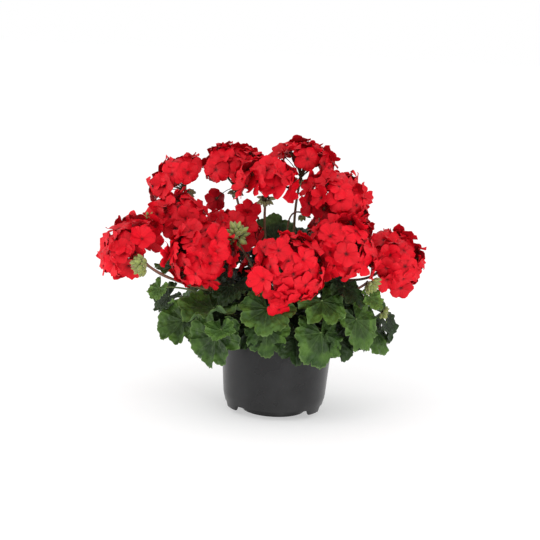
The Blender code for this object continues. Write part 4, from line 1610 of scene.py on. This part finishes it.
# ---------------------------------------------------------------- pot and soil
@dataclass
class Pot:
    """A turned nursery pot: rolled collar, tapered wall, three corner feet and a base disc."""

    rim_radius: float = 0.0825
    rim_depth: float = 0.010
    rim_step: float = 0.0023
    foot_radius: float = 0.0727
    foot_bend: float = 0.010
    foot_turn: float = 0.0045
    wall: float = 0.0018
    floor: float = 0.014
    skirt: float = 0.006
    base_radius: float = 0.045
    feet: tuple[float, float, float] = (58.0, 178.0, -62.0)
    foot_width: float = 26.0
    holes: int = 8
    hole_radius: float = 0.005
    sides: int = 180

    def wall_radius(self, height: float) -> float:
        """Return the outside radius of the straight wall at a height."""
        share = (height - self.floor) / (RIM_TOP - self.rim_depth - self.floor)
        return self.foot_radius + (self.rim_radius - self.rim_step - self.foot_radius) * share

    def profile(self) -> tuple[Array, Array]:
        """Return the section from the inside of the base, over the rim, to under the base.

        Straight runs are cut into even steps, and each corner is rounded by sampling the
        quarter circle that touches both of its sides.

        Returns:
            Radius and height of each point, and how much of it is skirt, from 0 to 1.
        """
        collar = RIM_TOP - self.rim_depth
        bend = self.floor + self.foot_bend
        skirt = self.wall_radius(bend) - self.foot_turn
        thick = self.wall
        corners = [
            (0.006, thick, 0, 0), (self.base_radius - 2 * thick, thick, 0.0006, 0),
            (self.base_radius - thick, self.floor + thick, 0.0006, 0),
            (skirt - thick, self.floor + thick, 0.002, 0),
            (self.wall_radius(bend) - thick, bend, 0.002, 0),
            (self.wall_radius(collar) - thick, collar, 0.002, 0),
            (self.rim_radius - self.rim_step, RIM_TOP, 0.0008, 0),
            (self.rim_radius, RIM_TOP, 0.0010, 0), (self.rim_radius, collar, 0.0009, 0),
            (self.wall_radius(collar), collar - 0.0006, 0.0006, 0),
            (self.wall_radius(bend), bend, 0.0035, 0),
            (skirt + 0.4 * self.foot_turn, self.floor, 0.0004, 0),
            (skirt, self.skirt, 0.0004, 1), (skirt - thick, self.skirt, 0.0004, 1),
            (skirt - thick, self.floor, 0.0004, 0),
            (self.base_radius, self.floor, 0.0006, 0), (self.base_radius, 0.0, 0.0008, 0),
            (0.006, 0.0, 0, 0),
        ]
        points, amounts = [], []
        for index, (radius, height, round_by, amount) in enumerate(corners):
            here = np.array([radius, height])
            if round_by:
                back = unit(np.array(corners[index - 1][:2]) - here) * round_by
                on = unit(np.array(corners[index + 1][:2]) - here) * round_by
                t = np.linspace(0.0, 1.0, 5)[:, None]
                arc = here + back * (1.0 - t) ** 2 + on * t ** 2
            else:
                arc = here[None]
            if points:
                last = points[-1][-1:]
                run = last + (arc[:1] - last) * np.linspace(0, 1, 6)[1:-1, None]
                points.append(run)
                amounts.append(np.linspace(amounts[-1][-1], amount, 6)[1:-1])
            points.append(arc)
            amounts.append(np.full(len(arc), float(amount)))
        return np.concatenate(points), np.concatenate(amounts)

    def add_shell(self, piece: Piece) -> None:
        """Add the turned shell, its skirt drawn up between the feet.

        Args:
            piece: the piece that takes it.
        """
        section, amount = self.profile()
        azimuth = np.arange(self.sides) * 360.0 / self.sides
        off = np.min(
            np.abs((azimuth[:, None] - np.array(self.feet)[None] + 180.0) % 360.0 - 180.0), axis=1
        )
        lifted = smooth(off, 0.5 * self.foot_width - 2.0, 0.5 * self.foot_width + 2.0)
        lift = amount[:, None] * lifted[None] * (self.floor - 0.0006 - self.skirt)
        turn = np.radians(azimuth)
        away = np.stack([np.sin(turn), -np.cos(turn), 0.0 * turn], axis=-1)
        rings = section[:, 0][:, None, None] * away[None]
        rings[..., 2] += section[:, 1][:, None] + lift
        ends = np.array([[0.0, 0.0, section[0, 1]], [0.0, 0.0, section[-1, 1]]])
        points = np.concatenate([rings.reshape(-1, 3), ends])
        dust = np.repeat(smooth(-section[:, 1], -0.05, 0.0), self.sides)
        piece.add(
            tube_weave(len(section), self.sides), points[None], 0, (0.5, 0.4),
            along=np.concatenate([dust, [1.0, 1.0]])[None],
        )

    def cut_holes(self, obj: bpy.types.Object) -> None:
        """Cut the drain holes through the raised ring round the base.

        Args:
            obj: the pot.
        """
        skirt = self.wall_radius(self.floor + self.foot_bend) - self.foot_turn - self.wall
        middle = 0.5 * (self.base_radius + skirt)
        pegs = Piece("drain_pegs", [], 30.0)
        azimuths = 360.0 * (np.arange(self.holes) + 0.5) / self.holes
        places = np.array([outward(a) * middle for a in azimuths])
        heights = np.array([self.floor - 0.004, self.floor + 0.006])
        paths = places[:, None] + UP * heights[None, :, None]
        pegs.add_tubes(paths, np.array([self.hole_radius] * 2), 24, 0)
        cutter = pegs.build()
        boolean = obj.modifiers.new("holes", "BOOLEAN")
        boolean.operation, boolean.solver, boolean.object = "DIFFERENCE", "EXACT", cutter
        bpy.context.view_layer.update()
        graph = bpy.context.evaluated_depsgraph_get()
        cut = bpy.data.meshes.new_from_object(obj.evaluated_get(graph))
        obj.modifiers.remove(boolean)
        obj.data = cut
        bpy.data.objects.remove(cutter, do_unlink=True)

    def build(self, finishes: Finishes) -> None:
        """Make the pot.

        Args:
            finishes: the plant's materials.
        """
        piece = Piece("nursery_pot", [finishes.pot], 50.0)
        self.add_shell(piece)
        self.cut_holes(piece.place("pot", "pot"))


@dataclass
class Soil:
    """Peat in the pot, with bark chips and perlite lying on it."""

    rng: np.random.Generator
    inside: float = 0.0765
    level: float = SOIL_LEVEL
    depth: float = 0.02
    crown: float = 0.003
    sides: int = 120
    rings: int = 34
    bits: int = 260

    def surface(self, x: Array, y: Array) -> Array:
        """Return the soil's height: a low crown plus sines of several lengths and headings.

        Args:
            x: places from left to right.
            y: places from front to back.

        Returns:
            The height at each place.
        """
        phases = np.random.default_rng(5).uniform(*ANY_TURN, (7, 2))
        far = np.hypot(x, y) / self.inside
        height = self.level + self.crown * (1.0 - far ** 2)
        for step, (phase, heading) in enumerate(phases):
            wave = 90.0 * 1.55 ** step
            along = x * math.cos(heading) + y * math.sin(heading)
            height = height + 0.0011 * 0.74 ** step * np.sin(along * wave + phase)
        return height

    def build(self, finishes: Finishes) -> None:
        """Make the soil and the bits on it.

        Args:
            finishes: the plant's materials.
        """
        piece = Piece("soil", [finishes.soil, finishes.crumbs])
        radius = np.linspace(0.004, self.inside, self.rings)
        turn = np.arange(self.sides) * -2.0 * math.pi / self.sides
        x = radius[:, None] * np.sin(turn)[None]
        y = -radius[:, None] * np.cos(turn)[None]
        top = np.stack([x, y, self.surface(x, y)], axis=-1)
        bottom = self.level - self.depth
        floor = np.stack([x[::-1], y[::-1], np.full(x.shape, bottom)], axis=-1)
        rings = np.concatenate([top, floor[:1], floor[-1:]])
        ends = np.array([[0.0, 0.0, top[0, :, 2].mean()], [0.0, 0.0, bottom]])
        points = np.concatenate([rings.reshape(-1, 3), ends])
        piece.add(tube_weave(len(rings), self.sides), points[None, :, :], 0, (0.3, 0.15))
        far = self.inside * 0.94 * np.sqrt(self.rng.random(self.bits))
        angle = self.rng.uniform(*ANY_TURN, self.bits)
        px, py = far * np.cos(angle), far * np.sin(angle)
        length = self.rng.uniform(0.0012, 0.0050, (self.bits, 1))
        way = unit(self.rng.normal(0.0, 1.0, (self.bits, 3)) * np.array([1.0, 1.0, 0.25]))
        foot = np.stack([px, py, self.surface(px, py) + 0.0004], axis=-1)
        steps = np.array([-0.5, -0.2, 0.2, 0.5])
        paths = foot[:, None] + way[:, None] * (length * steps[None])[..., None]
        girth = np.array([0.2, 0.34, 0.30, 0.16])[None] * length
        piece.add_tubes(paths, girth, 5, 1, self.rng.uniform(0.0, 1.0, self.bits))
        piece.place("soil", "potting_soil")


# ---------------------------------------------------------------- studio
@dataclass
class Studio:
    """A white floor and surround, soft lamps, and the camera."""

    distance: float = 2.4
    elevation: float = 11.0
    roll: float = 3.0
    lens: float = 111.9
    target: tuple[float, float, float] = (-0.0152, 0.0, 0.2044)
    floor_reach: float = 8.0
    floor_level: float = -0.0002

    def add_lamp(
        self, name: str, azimuth: float, height: float, far: float,
        size: tuple[float, float], watts: float,
    ) -> None:
        """Add a rectangular lamp that looks at the pot's axis.

        Args:
            name: the lamp's name.
            azimuth: where it stands, in degrees.
            height: height of its middle.
            far: distance from the axis.
            size: width and height.
            watts: its power.
        """
        place = Vector(outward(azimuth) * far + UP * height)
        aim = Vector((0.0, 0.0, min(height, self.target[2])))
        data = bpy.data.lights.new(name, "AREA")
        data.shape = "RECTANGLE"
        data.size, data.size_y = size
        data.energy = watts
        lamp = add_object(name, data)
        lamp.location = place
        lamp.rotation_euler = (place - aim).to_track_quat("Z", "Y").to_euler()
        lamp.visible_camera = False

    def add_floor(self) -> None:
        """Add the floor."""
        white = (1.0, 1.0, 1.0, 1.0)
        s = Shading(
            "floor_paper", Roughness=0.9, Specular_IOR_Level=0.1,
            Base_Color=(0.60, 0.60, 0.60, 1.0), Emission_Color=white, Emission_Strength=0.42,
        )
        far, level = self.floor_reach, self.floor_level
        corners = [(-far, -far, level), (far, -far, level), (far, far, level), (-far, far, level)]
        mesh = bpy.data.meshes.new("floor")
        mesh.from_pydata(corners, [], [(0, 1, 2, 3)])
        mesh.materials.append(s.material)
        add_object("floor", mesh)

    def add_camera(self) -> None:
        """Add the camera: it looks at the target and is rolled about its own axis."""
        data = bpy.data.cameras.new("camera")
        data.lens = self.lens
        data.sensor_width = 36.0
        data.clip_end = 50.0
        camera = add_object("camera", data)
        way = Vector(facing(0.0, 90.0 - self.elevation))
        camera.location = Vector(self.target) + way * self.distance
        look = way.to_track_quat("Z", "Y").to_matrix()
        camera.rotation_euler = (look @ Matrix.Rotation(math.radians(self.roll), 3, "Z")).to_euler()
        bpy.context.scene.camera = camera

    def build(self) -> None:
        """Set up the studio."""
        scene = bpy.context.scene
        scene.view_settings.view_transform = "Standard"
        scene.view_settings.look = "None"
        world = scene.world or bpy.data.worlds.new("surround")
        scene.world = world
        world.use_nodes = True
        background = world.node_tree.nodes["Background"]
        background.inputs["Color"].default_value = (1.0, 1.0, 1.0, 1.0)
        background.inputs["Strength"].default_value = 1.0
        self.add_lamp("key", -30.0, 2.3, 1.6, (1.4, 1.4), 12.0)
        self.add_lamp("left_strip", -84.0, 0.20, 1.5, (0.30, 0.40), 6.5)
        self.add_lamp("right_strip", 27.0, 0.18, 1.5, (0.08, 0.36), 8.5)
        self.add_floor()
        self.add_camera()


def main() -> None:
    """Build the pot, the soil, the plant and the studio."""
    logging.basicConfig(level=logging.INFO, format="%(name)s %(message)s")
    finishes = Finishes()
    Pot().build(finishes)
    Soil(np.random.default_rng(11)).build(finishes)
    StemSet(np.random.default_rng(12)).build(finishes)
    Foliage(np.random.default_rng(13)).build(finishes)
    Bloom(np.random.default_rng(14)).build(finishes)
    Studio().build()


if __name__ == "__main__":
    main()
